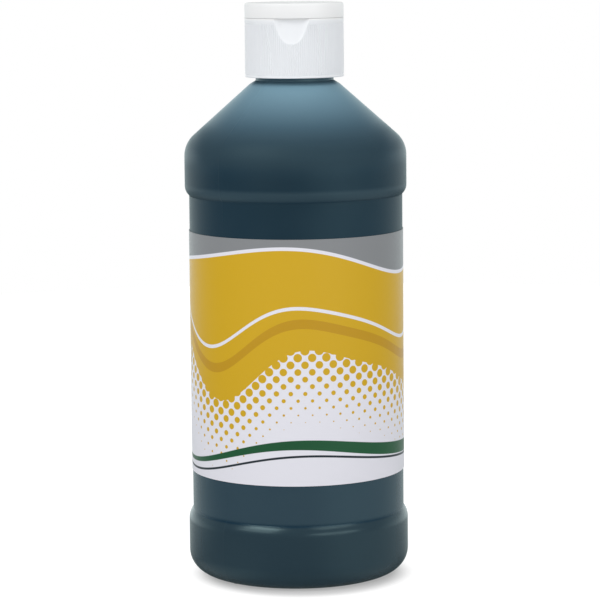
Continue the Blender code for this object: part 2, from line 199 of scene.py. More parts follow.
class PAINTBOTTLE_PG_cap(bpy.types.PropertyGroup):
    """Sizes of the cap's skirt, deck and spout"""

    radius: length("Radius", "Outside of the skirt", CAP_HIGH.x)
    ledge: length("Ledge", "Height of the ledge that the lid closes on", SEAM - 0.03 * MM)
    edge: length("Edge", "Round on moulded edges", 0.3 * MM)
    rib_count: whole_number("Ribs", "Ribs round the skirt", 150, 12)
    rib_height: length("Rib height", "How far the ribs stand out", 0.2 * MM)
    rib_inset: length("Rib inset", "Draft on each side of a rib", 0.07 * MM)
    foot_band: length("Foot band", "Plain band under the ribs", 0.45 * MM)
    head_band: length("Head band", "Plain band between ribs and ledge", 1.4 * MM)
    run_out: length("Run-out", "Slope from the plain bands down to the foot of the ribs", 0.4 * MM)
    bore: length("Bore", "Radius inside the skirt", 14.0 * MM)
    collar: length("Collar", "Radius inside the top of the skirt", 12.9 * MM)
    collar_drop: length("Collar drop", "Depth of the collar under the deck", 2.9 * MM)
    deck_underside: length("Deck underside", "Height of the deck's underside", 177.4 * MM)
    deck_top: length("Deck top", "Height of the dished deck", 178.7 * MM)
    snap_radius: length("Snap radius", "Outside of the ring that the lid snaps over", 13.7 * MM)
    snap_inner: length("Snap inner", "Inside of that ring", 12.6 * MM)
    snap_rise: length("Snap rise", "Height of that ring over the seam", 1.3 * MM)
    snap_bead: length("Snap bead", "How far the bead on that ring stands out", 0.12 * MM)
    bead_rise: length("Bead rise", "Height of that bead over the ledge", 0.55 * MM)
    spout_foot: length("Spout foot", "Radius of the spout at the deck", 4.4 * MM)
    spout_lip: length("Spout lip", "Radius of the spout at its lip", 3.7 * MM)
    orifice: length("Orifice", "Radius of the hole in the spout", 2.6 * MM)
    scoop_width: length("Scoop width", "Half width of the thumb scoop under the lid", 5.8 * MM)
    scoop_drop: length("Scoop drop", "Reach of the thumb scoop below the seam", 8.0 * MM)
    scoop_depth: length("Scoop depth", "Depth of the thumb scoop under the lid", 1.35 * MM)
    scoop_flatness: whole_number("Scoop flatness", "Power of its section: higher is flatter", 4, 2)
    scoop_taper: number("Scoop taper", "Power by which it narrows towards its foot", 0.78)
    scoop_rise: number("Scoop rise", "Power by which it gets shallower towards its foot", 1.1)


class PAINTBOTTLE_PG_lid(bpy.types.PropertyGroup):
    """Sizes of the snap lid and its hinge"""

    foot: length("Foot", "Height of the lid's lower edge", SEAM + 0.03 * MM)
    top_round: length("Top round", "Radius round the top", 0.9 * MM)
    bore: length("Bore", "Radius inside the lid's wall", 14.25 * MM)
    edge: length("Edge", "Round on the lid's inner edges", 0.3 * MM)
    bead: length("Bead", "How far the lid's snap bead stands in", 0.15 * MM)
    bead_rise: length("Bead rise", "Height of that bead over the lid's lower edge", 0.37 * MM)
    thickness: length("Thickness", "Thickness of the top", 1.3 * MM)
    plug_root: length("Plug root", "Radius of the plug at the top", 2.2 * MM)
    plug_tip: length("Plug tip", "Radius of the plug at its tip", 1.9 * MM)
    plug_drop: length("Plug drop", "Height of the plug's tip over the seam", 0.7 * MM)
    sides: whole_number("Sides", "Sides of each ring", 180, 24)
    flat_depth: length("Flat depth", "Where the hinge flat lies on the back", 14.95 * MM)
    flat_width: length("Flat width", "Half the width of the hinge flat", 6.5 * MM)
    flat_below: length("Flat below", "Reach of the hinge flat below the seam", 3.5 * MM)
    flat_above: length("Flat above", "Reach of the hinge flat above the seam", 3.0 * MM)
    fold_half: length("Fold half", "Half the height of the fold line in the film", 0.5 * MM)
    fold_depth: length("Fold depth", "Depth of the fold line", 0.25 * MM)
    strap_bow: length("Strap bow", "How far the straps bow out", 0.3 * MM)
    strap_thickness: length("Strap thickness", "Thickness of the straps", 0.45 * MM)
    strap_waist: factor("Strap waist", "How much the straps narrow in the middle", 0.4)
    hinge_sink: length("Hinge sink", "How far the ends of film and straps are let in", 0.4 * MM)
    hinge_round: length("Hinge round", "Round on the edges of film and straps", 0.12 * MM)


class PAINTBOTTLE_PG_finish(bpy.types.PropertyGroup):
    """Colours and gloss"""

    deep: colour("Deep", "Milky wall with dark paint against it", (0.003, 0.0225, 0.045))
    # Paler wall: random drift of the wall's thickness, and also painted light at the panel's foot and a
    # painted highlight under the band
    thick_and_painted_light: colour("Thick", "The same wall where it is thickest", (0.029, 0.056, 0.078))
    heel: colour("Heel", "The same wall round the heel", (0.020, 0.0405, 0.0565))
    headspace: colour("Headspace", "Milky wall over the paint, filmed with it", (0.170, 0.298, 0.378))
    heel_roughness: factor("Heel roughness", "Roughness of the bottle at its heel", 0.24)
    panel_roughness: factor("Panel roughness", "Roughness of the bottle's panel and band", 0.44)
    cone_roughness: factor("Cone roughness", "Roughness of the bottle's cone and neck", 0.32)
    shoulder_roughness: factor("Shoulder roughness", "Roughness of the shoulder's scuffed turn", 0.62)
    flank_roughness: factor("Flank roughness", "Roughness of the shoulder's unscuffed sides", 0.36)
    bottle_bloom: factor("Bottle bloom", "Milky bloom at grazing angles", 0.1)
    paint: colour("Paint", "The fill", (0.010, 0.022, 0.032))
    cap: colour("Cap", "White moulded cap", (0.776, 0.783, 0.788))
    # Skirt: darker than the cap, painted shade of the ribbed skirt and the thumb scoop
    skirt: colour("Skirt", "The same plastic in the thin ribbed skirt", (0.752, 0.771, 0.797))
    skirt_shade_fade: span("Skirt fade", "From the seam: where the skirt's colour ends", -0.8 * MM, -0.2 * MM)
    cap_roughness: factor("Cap roughness", "Roughness of the cap", 0.42)
    foam: colour("Foam", "Washer", (0.78, 0.78, 0.76))
    paper: colour("Paper", "Bare label", (0.68, 0.68, 0.74))
    yellow: colour("Yellow", "Main print colour", (0.555, 0.338, 0.005))
    amber: colour("Amber", "Deeper print colour", (0.465, 0.258, 0.004))
    grey: colour("Grey", "Print colour of the top wave", (0.21, 0.22, 0.23))
    green: colour("Green", "Print colour of the ribbon", (0.012, 0.09, 0.035))
    slate: colour("Slate", "Print colour of the thin dark line", (0.018, 0.028, 0.036))
    label_roughness: factor("Label roughness", "Roughness of the label", 0.34)


class PAINTBOTTLE_PG_wall(bpy.types.PropertyGroup):
    """Where the bottle's wall changes its colour and gloss, with painted light and shade among its
    colours
    """

    heel_fade: span("Heel", "From the heel's top: where the heel's own colour ends", 2.9 * MM, 3.7 * MM)
    # Painted light bounced up from the floor over the panel's foot, given as a thicker wall
    painted_foot_light_fade: span("Panel foot", "From the heel's top: where the wall thickens", 3.3 * MM, 4.3 * MM)
    painted_foot_light_share: factor("Panel foot share", "How thick the wall is at the panel's foot", 0.95)
    # Painted shade in the crease over the heel
    painted_crease_shade_rise: span("Crease start", "From the heel's crease: where it darkens", -0.5 * MM, -0.1 * MM)
    painted_crease_shade_fall: span("Crease end", "From the heel's crease: where it clears", 0.1 * MM, 0.9 * MM)
    painted_crease_shade_share: factor("Crease share", "How dark the crease is", 0.4)
    # Painted highlight under the band's step: a reflection of the floor, given as a thicker wall
    painted_step_highlight_rise: span("Step start", "From the band's foot: where the wall thickens", -3.2 * MM, -2.2 * MM)
    painted_step_highlight_fall: span("Step end", "From the band's foot: where it thins again", -0.4 * MM, 1.2 * MM)
    painted_step_highlight_share: factor("Step share", "How thick the wall is in that step", 0.65)
    drift_share: factor("Drift", "How much the thickness drifts all over", 0.2)
    film_fade: span("Film", "From the paint's level: where splashes thin out", -11.0 * MM, -4.0 * MM)
    film_share: factor("Film share", "How clear the wall is at the level", 0.035)
    clear_fade: span("Clearing", "From the paint's level: where the wall clears", -1.8 * MM, 22.2 * MM)
    # Painted shadow of the cap on the wall just under it
    painted_cap_shade_fade: span("Under cap", "From the skirt's foot: where the wall darkens", -3.1 * MM, -0.4 * MM)
    painted_cap_shade_share: factor("Under cap share", "How dark the wall is just under the cap", 0.75)
    cone_fade: span("Cone", "From the band's top: where the cone's gloss starts", 6.0 * MM, 12.0 * MM)
    turn_rise: span("Turn start", "From the band's top: where the scuffs start", -3.0 * MM, 1.0 * MM)
    turn_fall: span("Turn end", "From the band's top: where the scuffs end", 6.0 * MM, 11.0 * MM)
    flank_fade: span("Flanks", "From the middle: where the unscuffed sides start", 25.0 * MM, 31.5 * MM)


class PAINTBOTTLE_PG_stage(bpy.types.PropertyGroup):
    """Camera, floor and light"""

    distance: length("Distance", "Camera from the bottle's axis", 0.870)
    orbit: angle("Orbit", "Turn of the camera about the bottle, from the front to the right", 3.5)
    height: length("Height", "Camera over the floor", 0.2021)
    tilt: angle("Tilt", "Camera below the horizontal", 7.46)
    roll: angle("Roll", "Camera about its own line of sight", -0.54)
    lens: FloatProperty(name="Lens", description="Focal length", default=163.4, unit="CAMERA")
    shift: FloatProperty(name="Shift", description="Sideways shift of the frame", default=0.0055)
    floor_radius: length("Floor radius", "Radius of the floor", 0.45)
    floor_back: length("Floor back", "How far its centre lies behind the bottle", 0.30)
    floor_gap: length("Floor gap", "How far it lies under the bottle's foot", 0.05 * MM)
    floor: colour("Floor", "Pale floor, as it lights the bottle", (0.72, 0.72, 0.72))
    floor_seen: colour("Floor seen", "That floor in the camera, under its glow", (0.36, 0.36, 0.36))
    # Less white is added close to the bottle than away from it, and the floor is seen dimmer than it
    # lights: this paints part of the bottle's shadow on the floor, over the real one
    floor_glow: factor("Floor glow", "White added to the floor as seen, close to the bottle", 0.36)
    floor_clear: factor("Floor clear", "White added to the floor as seen, away from the bottle", 0.8)
    # Middle and fade of the painted shadow: where the added white is least
    painted_shadow_middle: FloatVectorProperty(
        name="Shade middle",
        description="Middle of the shade under the bottle, from the floor's own origin",
        default=(1.6 * MM, -6.5 * MM, 0.0),
        size=3,
        subtype="TRANSLATION",
        unit="LENGTH",
    )
    painted_shadow_fade: span("Shade fade", "From that middle: where the floor clears", 28.0 * MM, 37.0 * MM)
    front_fill: number("Front fill", "Even light from the camera's side", 1.19)
    back_fill: number("Back fill", "Even light from behind", 0.58)
    gloss_tint: colour("Gloss tint", "Colour of the studio, as gloss shows it", (0.9, 1.0, 1.0))
    dark_side: factor("Dark side", "Brightness of the studio before it, as gloss shows it", 0.04)
    bright_side: number("Bright side", "Brightness of the studio behind it, as gloss shows it", 1.35)
    right_side: factor("Right side", "Brightness of the studio's right side, as gloss shows it", 0.36)
    table: factor("Table", "Brightness of the table, as gloss shows it", 0.14)
    table_sides: factor("Table sides", "Brightness added at the table's sides, as gloss shows it", 0.3)
    lamp_aim: length("Lamp aim", "Height on the bottle's axis that the lamps face", 0.1)


class PAINTBOTTLE_PG_settings(bpy.types.PropertyGroup):
    """All settings of the paint bottle"""

    bottle: PointerProperty(type=PAINTBOTTLE_PG_bottle)
    thread: PointerProperty(type=PAINTBOTTLE_PG_thread)
    label: PointerProperty(type=PAINTBOTTLE_PG_label)
    cap: PointerProperty(type=PAINTBOTTLE_PG_cap)
    lid: PointerProperty(type=PAINTBOTTLE_PG_lid)
    finish: PointerProperty(type=PAINTBOTTLE_PG_finish)
    wall: PointerProperty(type=PAINTBOTTLE_PG_wall)
    stage: PointerProperty(type=PAINTBOTTLE_PG_stage)


# Modelling helpers


def deselect_all():
    if bpy.context.mode != "OBJECT":
        bpy.ops.object.mode_set(mode="OBJECT")
    bpy.ops.object.select_all(action="DESELECT")


def choose(piece):
    """Makes a piece the only one that is selected."""
    deselect_all()
    piece.select_set(True)
    bpy.context.view_layer.objects.active = piece


def open_new(name):
    """Names the primitive just added, puts its place into its mesh and opens it for editing."""
    piece = bpy.context.active_object
    piece.name = name
    piece.data.name = name
    bpy.ops.object.transform_apply(location=True, rotation=True, scale=True)
    bpy.ops.object.mode_set(mode="EDIT")
    bpy.ops.mesh.select_mode(type="VERT")
    bpy.ops.mesh.select_all(action="SELECT")
    return piece


def select_points(piece, wanted):
    """Selects the points of an open piece whose place passes a test."""
    mesh = bmesh.from_edit_mesh(piece.data)
    bpy.ops.mesh.select_all(action="DESELECT")
    chosen = [point for point in mesh.verts if wanted(point.co)]
    for point in chosen:
        point.select = True
    mesh.select_flush(True)
    bmesh.update_edit_mesh(piece.data)
    if not chosen:
        raise RuntimeError(f"{piece.name}: no points where some should be")


def select_faces(piece, wanted):
    """Selects the faces of an open piece whose middle and normal pass a test."""
    bpy.ops.mesh.select_all(action="DESELECT")
    bpy.ops.mesh.select_mode(type="FACE")
    mesh = bmesh.from_edit_mesh(piece.data)
    chosen = [face for face in mesh.faces if wanted(face.calc_center_median(), face.normal)]
    for face in chosen:
        face.select = True
    bmesh.update_edit_mesh(piece.data)
    if not chosen:
        raise RuntimeError(f"{piece.name}: no faces where some should be")


def arc(centre, radius, start, end, pieces):
    """Points on a circular arc between two angles."""
    angles = [start + (end - start) * i / pieces for i in range(pieces + 1)]
    return [(centre[0] + radius * math.cos(a), centre[1] + radius * math.sin(a)) for a in angles]


def rounded(corner, before, after, radius, pieces=3):
    """A corner of a profile eased by a curve that touches both its sides."""
    corner, before, after = Vector(corner), Vector(before), Vector(after)
    start = corner + (before - corner).normalized() * radius
    end = corner + (after - corner).normalized() * radius
    points = []
    for i in range(pieces + 1):
        t = i / pieces
        points.append(tuple(start * (1 - t) ** 2 + corner * 2 * t * (1 - t) + end * t**2))
    return points


def eased(corners):
    """A profile with every corner that carries a radius, as its third value, rounded."""
    points = []
    last = len(corners) - 1
    for i, (radius_at, height, *ease) in enumerate(corners):
        if ease and 0 < i < last:
            before = corners[i - 1][:2]
            after = corners[i + 1][:2]
            points += rounded((radius_at, height), before, after, ease[0])
        else:
            points.append((radius_at, height))
    return points


def turn(name, profile, sides):
    """A circle extruded ring by ring along a profile of radius and height."""
    deselect_all()
    radius, height = profile[0]
    bpy.ops.mesh.primitive_circle_add(
        vertices=sides, radius=radius, fill_type="NOTHING", location=(0, 0, height)
    )
    piece = open_new(name)
    for next_radius, next_height in profile[1:]:
        rise = (0, 0, next_height - height)
        bpy.ops.mesh.extrude_region_move(TRANSFORM_OT_translate={"value": rise})
        share = next_radius / radius
        bpy.ops.transform.resize(value=(share, share, 1), center_override=(0, 0, next_height))
        radius, height = next_radius, next_height
    return piece


def fill_ring(piece, radius, height):
    """Closes the open ring at a radius and height with a face."""
    near = 0.01 * MM
    select_points(piece, lambda p: abs(p.z - height) < near and p.xy.length < radius + near)
    bpy.ops.mesh.edge_face_add()


def merge_and_turn_out():
    """Joins coincident points of the open piece and turns its faces outwards."""
    bpy.ops.mesh.select_all(action="SELECT")
    bpy.ops.mesh.remove_doubles(threshold=0.002 * MM)
    bpy.ops.mesh.normals_make_consistent(inside=False)


def cut_rows(heights):
    """Cuts level rows of edges into the open piece."""
    for height in heights:
        bpy.ops.mesh.select_all(action="SELECT")
        bpy.ops.mesh.bisect(plane_co=(0, 0, height), plane_no=(0, 0, 1))


def apply_modifier(piece, kind, **values):
    """Adds a modifier to a piece and applies it."""
    choose(piece)
    modifier = piece.modifiers.new(kind.lower(), kind)
    for key, value in values.items():
        setattr(modifier, key, value)
    bpy.ops.object.modifier_apply(modifier=modifier.name)


def carve(piece, cutter):
    """Takes a cutter's shape out of a piece and removes the cutter."""
    before = len(piece.data.polygons)
    apply_modifier(piece, "BOOLEAN", operation="DIFFERENCE", solver="EXACT", object=cutter)
    if len(piece.data.polygons) == before:
        raise RuntimeError(f"{cutter.name} cut nothing out of {piece.name}")
    bpy.data.objects.remove(cutter)


def cover(piece, material):
    """Gives a piece its one material."""
    piece.data.materials.clear()
    piece.data.materials.append(material)


def smooth(piece, sharp):
    """Shades a piece smooth up to an angle in degrees."""
    choose(piece)
    bpy.ops.object.shade_smooth_by_angle(angle=math.radians(sharp))


def finish(piece, body, slot, material, *nodes, sharp=35.0):
    """Shades a rigid piece and hangs it on its body in place of the solids it stands for."""
    smooth(piece, sharp)
    cover(piece, material)
    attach(piece, body)
    if nodes:
        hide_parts(*nodes)


# Shader helpers


class Nodes:
    """A node tree with short ways to add nodes to it."""

    def __init__(self, tree):
        self.tree = tree

    def add(self, kind, inputs=None, **values):
        """A node with its settings, and its inputs set or linked by name or number."""
        node = self.tree.nodes.new(kind)
        for key, value in values.items():
            setattr(node, key, value)
        for key, value in (inputs or {}).items():
            self.put(node.inputs[key], value)
        return node

    def put(self, socket, value):
        """Links a socket or sets its value."""
        if isinstance(value, bpy.types.NodeSocket):
            self.tree.links.new(value, socket)
        else:
            socket.default_value = value

    def calc(self, operation, *values):
        """The outcome of a sum or of another operation on numbers."""
        node = self.add("ShaderNodeMath", operation=operation)
        for socket, value in zip(node.inputs, values):
            self.put(socket, value)
        return node.outputs[0]

    def place(self, kind):
        """Texture coordinates of a kind, and their three parts."""
        where = self.add("ShaderNodeTexCoord").outputs[kind]
        parts = self.add("ShaderNodeSeparateXYZ", {0: where})
        return where, parts.outputs

    def ramp(self, value, low, high, to_low=0.0, to_high=1.0, smoothly=True):
        """A value carried from one range to another, and held at its ends."""
        kind = "SMOOTHSTEP" if smoothly else "LINEAR"
        node = self.add("ShaderNodeMapRange", interpolation_type=kind)
        for socket, given in zip(node.inputs, (value, low, high, to_low, to_high)):
            self.put(socket, given)
        return node.outputs[0]

    def mix(self, share, first, second):
        """A colour between two others."""
        node = self.add("ShaderNodeMix", data_type="RGBA")
        self.put(node.inputs["Factor"], share)
        for socket, given in ((node.inputs[6], first), (node.inputs[7], second)):
            self.put(socket, given if isinstance(given, bpy.types.NodeSocket) else (*given, 1.0))
        return node.outputs[2]

    def blend(self, share, first, second):
        """A number between two others."""
        return self.add("ShaderNodeMix", {0: share, 2: first, 3: second}, data_type="FLOAT").outputs[0]


class Shader(Nodes):
    """A material whose surface is set by the names of its inputs."""

    def __init__(self, name):
        self.material = bpy.data.materials.new(name)
        self.material.use_nodes = True
        super().__init__(self.material.node_tree)
        self.surface = self.tree.nodes["Principled BSDF"]

    def noise(self, where, scale, detail):
        """Smooth random cloud, so many lumps to a metre."""
        values = {"Vector": where, "Scale": scale, "Detail": detail}
        return self.add("ShaderNodeTexNoise", values).outputs["Fac"]

    def fade(self, place, datum, reach, to_low=0.0, to_high=1.0):
        """A change between two places that are given from a datum."""
        start, end = reach
        return self.ramp(place, datum + start, datum + end, to_low, to_high)

    def between(self, place, datum, rise, fall):
        """1 between two places, each with its fade."""
        rising = self.fade(place, datum, rise)
        falling = self.fade(place, datum, fall, 1.0, 0.0)
        return self.calc("MULTIPLY", rising, falling)

    def bump(self, height, distance, strength, below=None):
        """A finely uneven skin, over another one if that is given."""
        values = {"Height": height, "Distance": distance, "Strength": strength}
        if below is not None:
            values["Normal"] = below
        return self.add("ShaderNodeBump", values).outputs["Normal"]

    def set(self, **values):
        """Sets or links inputs of the surface by their names, with _ for each space."""
        for key, value in values.items():
            self.put(self.surface.inputs[key.replace("_", " ")], value)


# Finishes


def darker(tint, share):
    """A colour at a share of its brightness."""
    return tuple(share * part for part in tint)


def bottle_plastic(size, wall, colours):
    """Milky satin polyethylene that shows the dark paint behind it and clears above its level."""
    shader = Shader("milky_polyethylene")
    where, (x, _, z) = shader.place("Object")
    drift = shader.noise(where, scale=22.0, detail=3.0)
    tint = wall_tint(shader, z, drift, size, wall, colours)
    rough = wall_roughness(shader, x, z, drift, size, wall, colours)
    sag = shader.noise(where, scale=55.0, detail=1.0)
    grain = shader.noise(where, scale=1400.0, detail=2.0)
    wavy = shader.bump(sag, distance=0.6 * MM, strength=0.12)
    skin = shader.bump(grain, distance=0.05 * MM, strength=0.25, below=wavy)
    shader.set(Base_Color=tint, Roughness=rough, Normal=skin)
    shader.set(Sheen_Weight=colours.bottle_bloom, Sheen_Roughness=0.25)
    shader.set(Sheen_Tint=(0.5, 0.95, 0.95, 1.0), Specular_Tint=(0.70, 1.0, 1.0, 1.0), IOR=1.52)
    return shader.material


def wall_tint(shader, z, drift, size, wall, colours):
    """Colour of the wall: random paler drift; painted light over the panel's foot, a painted highlight
    under the band, painted shade in the heel's crease and under the cap; clearing over the paint.
    """
    deep = tuple(colours.deep)
    # Paler from the heel's top up behind the label: painted light bounced up from the floor
    foot = shader.fade(z, size.heel_top, wall.painted_foot_light_fade, 0.0, wall.painted_foot_light_share)
    painted_light_down_the_label = shader.ramp(z, LABEL_LOW.z, LABEL_HIGH.z, 1.0, 0.0)
    thick_and_painted_light = shader.calc("MULTIPLY", foot, painted_light_down_the_label)
    # Pale line under the band's step: painted highlight, a reflection of the floor
    step = shader.between(z, size.band_bottom, wall.painted_step_highlight_rise, wall.painted_step_highlight_fall)
    thick_and_painted_light = shader.calc("MULTIPLY_ADD", step, wall.painted_step_highlight_share, thick_and_painted_light)
    thick_and_painted_light = shader.calc("ADD", thick_and_painted_light, shader.ramp(drift, 0.25, 0.75, 0.0, wall.drift_share))
    tint = shader.mix(thick_and_painted_light, deep, tuple(colours.thick_and_painted_light))
    in_heel = shader.fade(z, size.heel_top, wall.heel_fade, 1.0, 0.0)
    tint = shader.mix(in_heel, tint, tuple(colours.heel))
    crease = size.heel_top + step_height(size, size.heel_convex, size.heel_concave)
    # Darker in the crease over the heel: painted shade
    crease_shade_mask = shader.between(z, crease, wall.painted_crease_shade_rise, wall.painted_crease_shade_fall)
    tint = shader.mix(shader.calc("MULTIPLY", crease_shade_mask, wall.painted_crease_shade_share), tint, deep)
    film = shader.fade(z, PAINT_LEVEL, wall.film_fade, 0.0, wall.film_share)
    clear = shader.calc("ADD", film, shader.fade(z, PAINT_LEVEL, wall.clear_fade))
    tint = shader.mix(clear, tint, tuple(colours.headspace))
    # Darker just under the cap: painted shadow of the cap
    return shader.mix(shader.fade(z, CAP_LOW.z, wall.painted_cap_shade_fade, 0.0, wall.painted_cap_shade_share), tint, deep)


def wall_roughness(shader, x, z, drift, size, wall, colours):
    """Roughness of the wall: glossy heel, satin panel, and a shoulder scuffed at front and back."""
    satin = shader.ramp(z, LABEL_LOW.z, LABEL_HIGH.z, colours.heel_roughness, colours.panel_roughness)
    on_cone = shader.fade(z, size.band_top, wall.cone_fade)
    satin = shader.blend(on_cone, satin, colours.cone_roughness)
    on_flank = shader.fade(shader.calc("ABSOLUTE", x), 0.0, wall.flank_fade)
    scuffed = shader.blend(on_flank, colours.shoulder_roughness, colours.flank_roughness)
    on_turn = shader.between(z, size.band_top, wall.turn_rise, wall.turn_fall)
    satin = shader.blend(on_turn, satin, scuffed)
    return shader.calc("ADD", satin, shader.ramp(drift, 0.2, 0.8, -0.03, 0.03))


def cap_plastic(colours):
    """White moulded polypropylene with a fine spark-eroded grain, darker below the seam as painted
    shade of the ribbed skirt and the thumb scoop.
    """
    shader = Shader("white_polypropylene")
    where, (_, _, z) = shader.place("Object")
    cloud = shader.noise(where, scale=60.0, detail=2.0)
    shade = darker(colours.cap, 0.965)
    tint = shader.mix(shader.ramp(cloud, 0.3, 0.7), tuple(colours.cap), shade)
    # Darker below the seam: painted shade of the ribs and the thumb scoop
    skirt_shade_mask = shader.fade(z, SEAM, colours.skirt_shade_fade, 1.0, 0.0)
    tint = shader.mix(skirt_shade_mask, tint, tuple(colours.skirt))
    satin = colours.cap_roughness
    rough = shader.ramp(cloud, 0.2, 0.8, satin - 0.04, satin + 0.05)
    grain = shader.noise(where, scale=3200.0, detail=2.0)
    skin = shader.bump(grain, distance=0.03 * MM, strength=0.3)
    shader.set(Base_Color=tint, Roughness=rough, Normal=skin, IOR=1.49)
    shader.set(Subsurface_Weight=0.25, Subsurface_Scale=1.2 * MM, Subsurface_Radius=(1.0, 1.0, 1.0))
    return shader.material


def wet_paint(colours):
    """Thick glossy paint with slow swirls."""
    shader = Shader("wet_paint")
    where, _ = shader.place("Object")
    swirl = shader.noise(where, scale=90.0, detail=4.0)
    dark = darker(colours.paint, 0.7)
    tint = shader.mix(swirl, tuple(colours.paint), dark)
    rough = shader.ramp(swirl, 0.3, 0.7, 0.16, 0.26)
    skin = shader.bump(swirl, distance=0.2 * MM, strength=0.15)
    shader.set(Base_Color=tint, Roughness=rough, Normal=skin)
    return shader.material


def washer_foam(colours):
    """Closed-cell foam."""
    shader = Shader("washer_foam")
    where, _ = shader.place("Object")
    cells = shader.add("ShaderNodeTexVoronoi", {"Vector": where, "Scale": 2600.0}).outputs["Distance"]
    shade = darker(colours.foam, 0.85)
    tint = shader.mix(shader.ramp(cells, 0.1, 0.6), shade, tuple(colours.foam))
    rough = shader.ramp(cells, 0.0, 0.7, 0.9, 0.75)
    skin = shader.bump(cells, distance=0.06 * MM, strength=0.6)
    shader.set(Base_Color=tint, Roughness=rough, Normal=skin)
    return shader.material


class LabelPrint:
    """Print on the label, drawn by its height over the label's foot and its turn from the front."""

    edge = 0.07 * MM  # softness of a printed edge
    least_dot = 0.12 * MM  # radius under which a dot isn't printed

    def __init__(self, size, colours):
        self.shader = Shader("printed_label")
        self.colours = colours
        self.where, (x, y, z) = self.shader.place("Object")
        calc = self.shader.calc
        self.turn = calc("ARCTAN2", x, calc("MULTIPLY", y, -1.0))
        self.height = calc("SUBTRACT", z, LABEL_LOW.z)
        self.radius = size.radius + size.thickness
        self.ink = None

    def wave(self, level, swings):
        """A line round the label: a level with whole waves of (count, swing, phase) on it."""
        calc = self.shader.calc
        line = level
        for count, swing, phase in swings:
            angle_along = calc("MULTIPLY_ADD", self.turn, float(count), phase)
            line = calc("MULTIPLY_ADD", calc("SINE", angle_along), swing, line)
        return line

    def over(self, line):
        """How far a point lies above a line."""
        return self.shader.calc("SUBTRACT", self.height, line)

    def filled(self, distance):
        """1 where a distance is positive."""
        return self.shader.ramp(distance, -self.edge, self.edge)

    def ribbon(self, line, half_width):
        """1 within a distance of a line."""
        gap = self.shader.calc("ABSOLUTE", self.over(line))
        return self.filled(self.shader.calc("SUBTRACT", half_width, gap))

    def dots(self, line, reach, across, biggest):
        """Slanted grid of dots, a whole number round the label, that shrink away below a line."""
        calc = self.shader.calc
        pitch = 2 * math.pi * self.radius / across
        along = calc("MULTIPLY", self.turn, self.radius / pitch)
        up = calc("DIVIDE", self.height, pitch)
        squares = 0.0
        for direction in (1.0, -1.0):
            cell = calc("MULTIPLY_ADD", up, direction, along)
            offset = calc("SUBTRACT", calc("FRACT", cell), 0.5)
            squares = calc("MULTIPLY_ADD", offset, offset, squares)
        from_centre = calc("MULTIPLY", calc("SQRT", squares), pitch / math.sqrt(2.0))
        depth = calc("MULTIPLY", self.over(line), -1.0)
        size = self.shader.ramp(depth, 0.0, reach, biggest, 0.0, smoothly=False)
        inside = self.filled(calc("SUBTRACT", size, from_centre))
        return calc("MULTIPLY", inside, calc("GREATER_THAN", size, self.least_dot))

    def lay(self, mask, tint):
        """Prints a tint through a mask over what is there."""
        below = tuple(self.colours.paper) if self.ink is None else self.ink
        self.ink = self.shader.mix(mask, below, tuple(tint))


def label_print(size, colours):
    """Flowing yellow waves over white, with a grey wave along the top and a green ribbon."""
    art = LabelPrint(size, colours)
    shader = art.shader
    tall = LABEL_HIGH.z - LABEL_LOW.z
    shore = art.wave(36 * MM, [(3, 7.5 * MM, 0.5), (5, 2.6 * MM, 2.1)])
    art.lay(art.filled(art.over(shore)), colours.yellow)
    art.lay(art.dots(shore, reach=25 * MM, across=48, biggest=1.45 * MM), colours.yellow)
    crest = art.wave(45 * MM, [(3, 7.0 * MM, 0.75), (5, 2.0 * MM, 2.6)])
    art.lay(art.ribbon(crest, 1.5 * MM), colours.amber)
    foam = art.wave(50.5 * MM, [(3, 6.4 * MM, 0.95), (5, 1.6 * MM, 3.0)])
    art.lay(art.ribbon(foam, 0.55 * MM), colours.paper)
    sky = art.wave(tall - 6.5 * MM, [(2, 4.4 * MM, 2.2), (3, 1.5 * MM, 0.4)])
    under_sky = shader.calc("SUBTRACT", sky, 1.1 * MM)
    art.lay(art.filled(art.over(under_sky)), colours.paper)
    art.lay(art.filled(art.over(sky)), colours.grey)
    stem = art.wave(9.5 * MM, [(2, 3.4 * MM, 0.9), (3, 1.2 * MM, 2.4)])
    swell = art.wave(1.25 * MM, [(1, 0.7 * MM, 0.3)])
    art.lay(art.ribbon(stem, swell), colours.green)
    echo = art.wave(6.4 * MM, [(2, 3.0 * MM, 0.7), (3, 1.2 * MM, 2.2)])
    art.lay(art.ribbon(echo, 0.35 * MM), colours.slate)

    cockle = shader.noise(art.where, scale=45.0, detail=1.0)
    fibre = shader.noise(art.where, scale=900.0, detail=3.0)
    satin = colours.label_roughness
    rough = shader.ramp(fibre, 0.2, 0.8, satin - 0.03, satin + 0.05)
    wavy = shader.bump(cockle, distance=0.4 * MM, strength=0.08)
    skin = shader.bump(fibre, distance=0.02 * MM, strength=0.2, below=wavy)
    shader.set(Base_Color=art.ink, Roughness=rough, Normal=skin, Specular_IOR_Level=0.36)
    return shader.material


# Outlines


def step_sweep(size, convex, concave):
    """Angle through which two tangent arcs cross from the wide radius to the panel."""
    return math.acos(1 - (size.wide_radius - size.panel_radius) / (convex + concave))


def step_height(size, convex, concave):
    """Height of those two arcs together."""
    return (convex + concave) * math.sin(step_sweep(size, convex, concave))


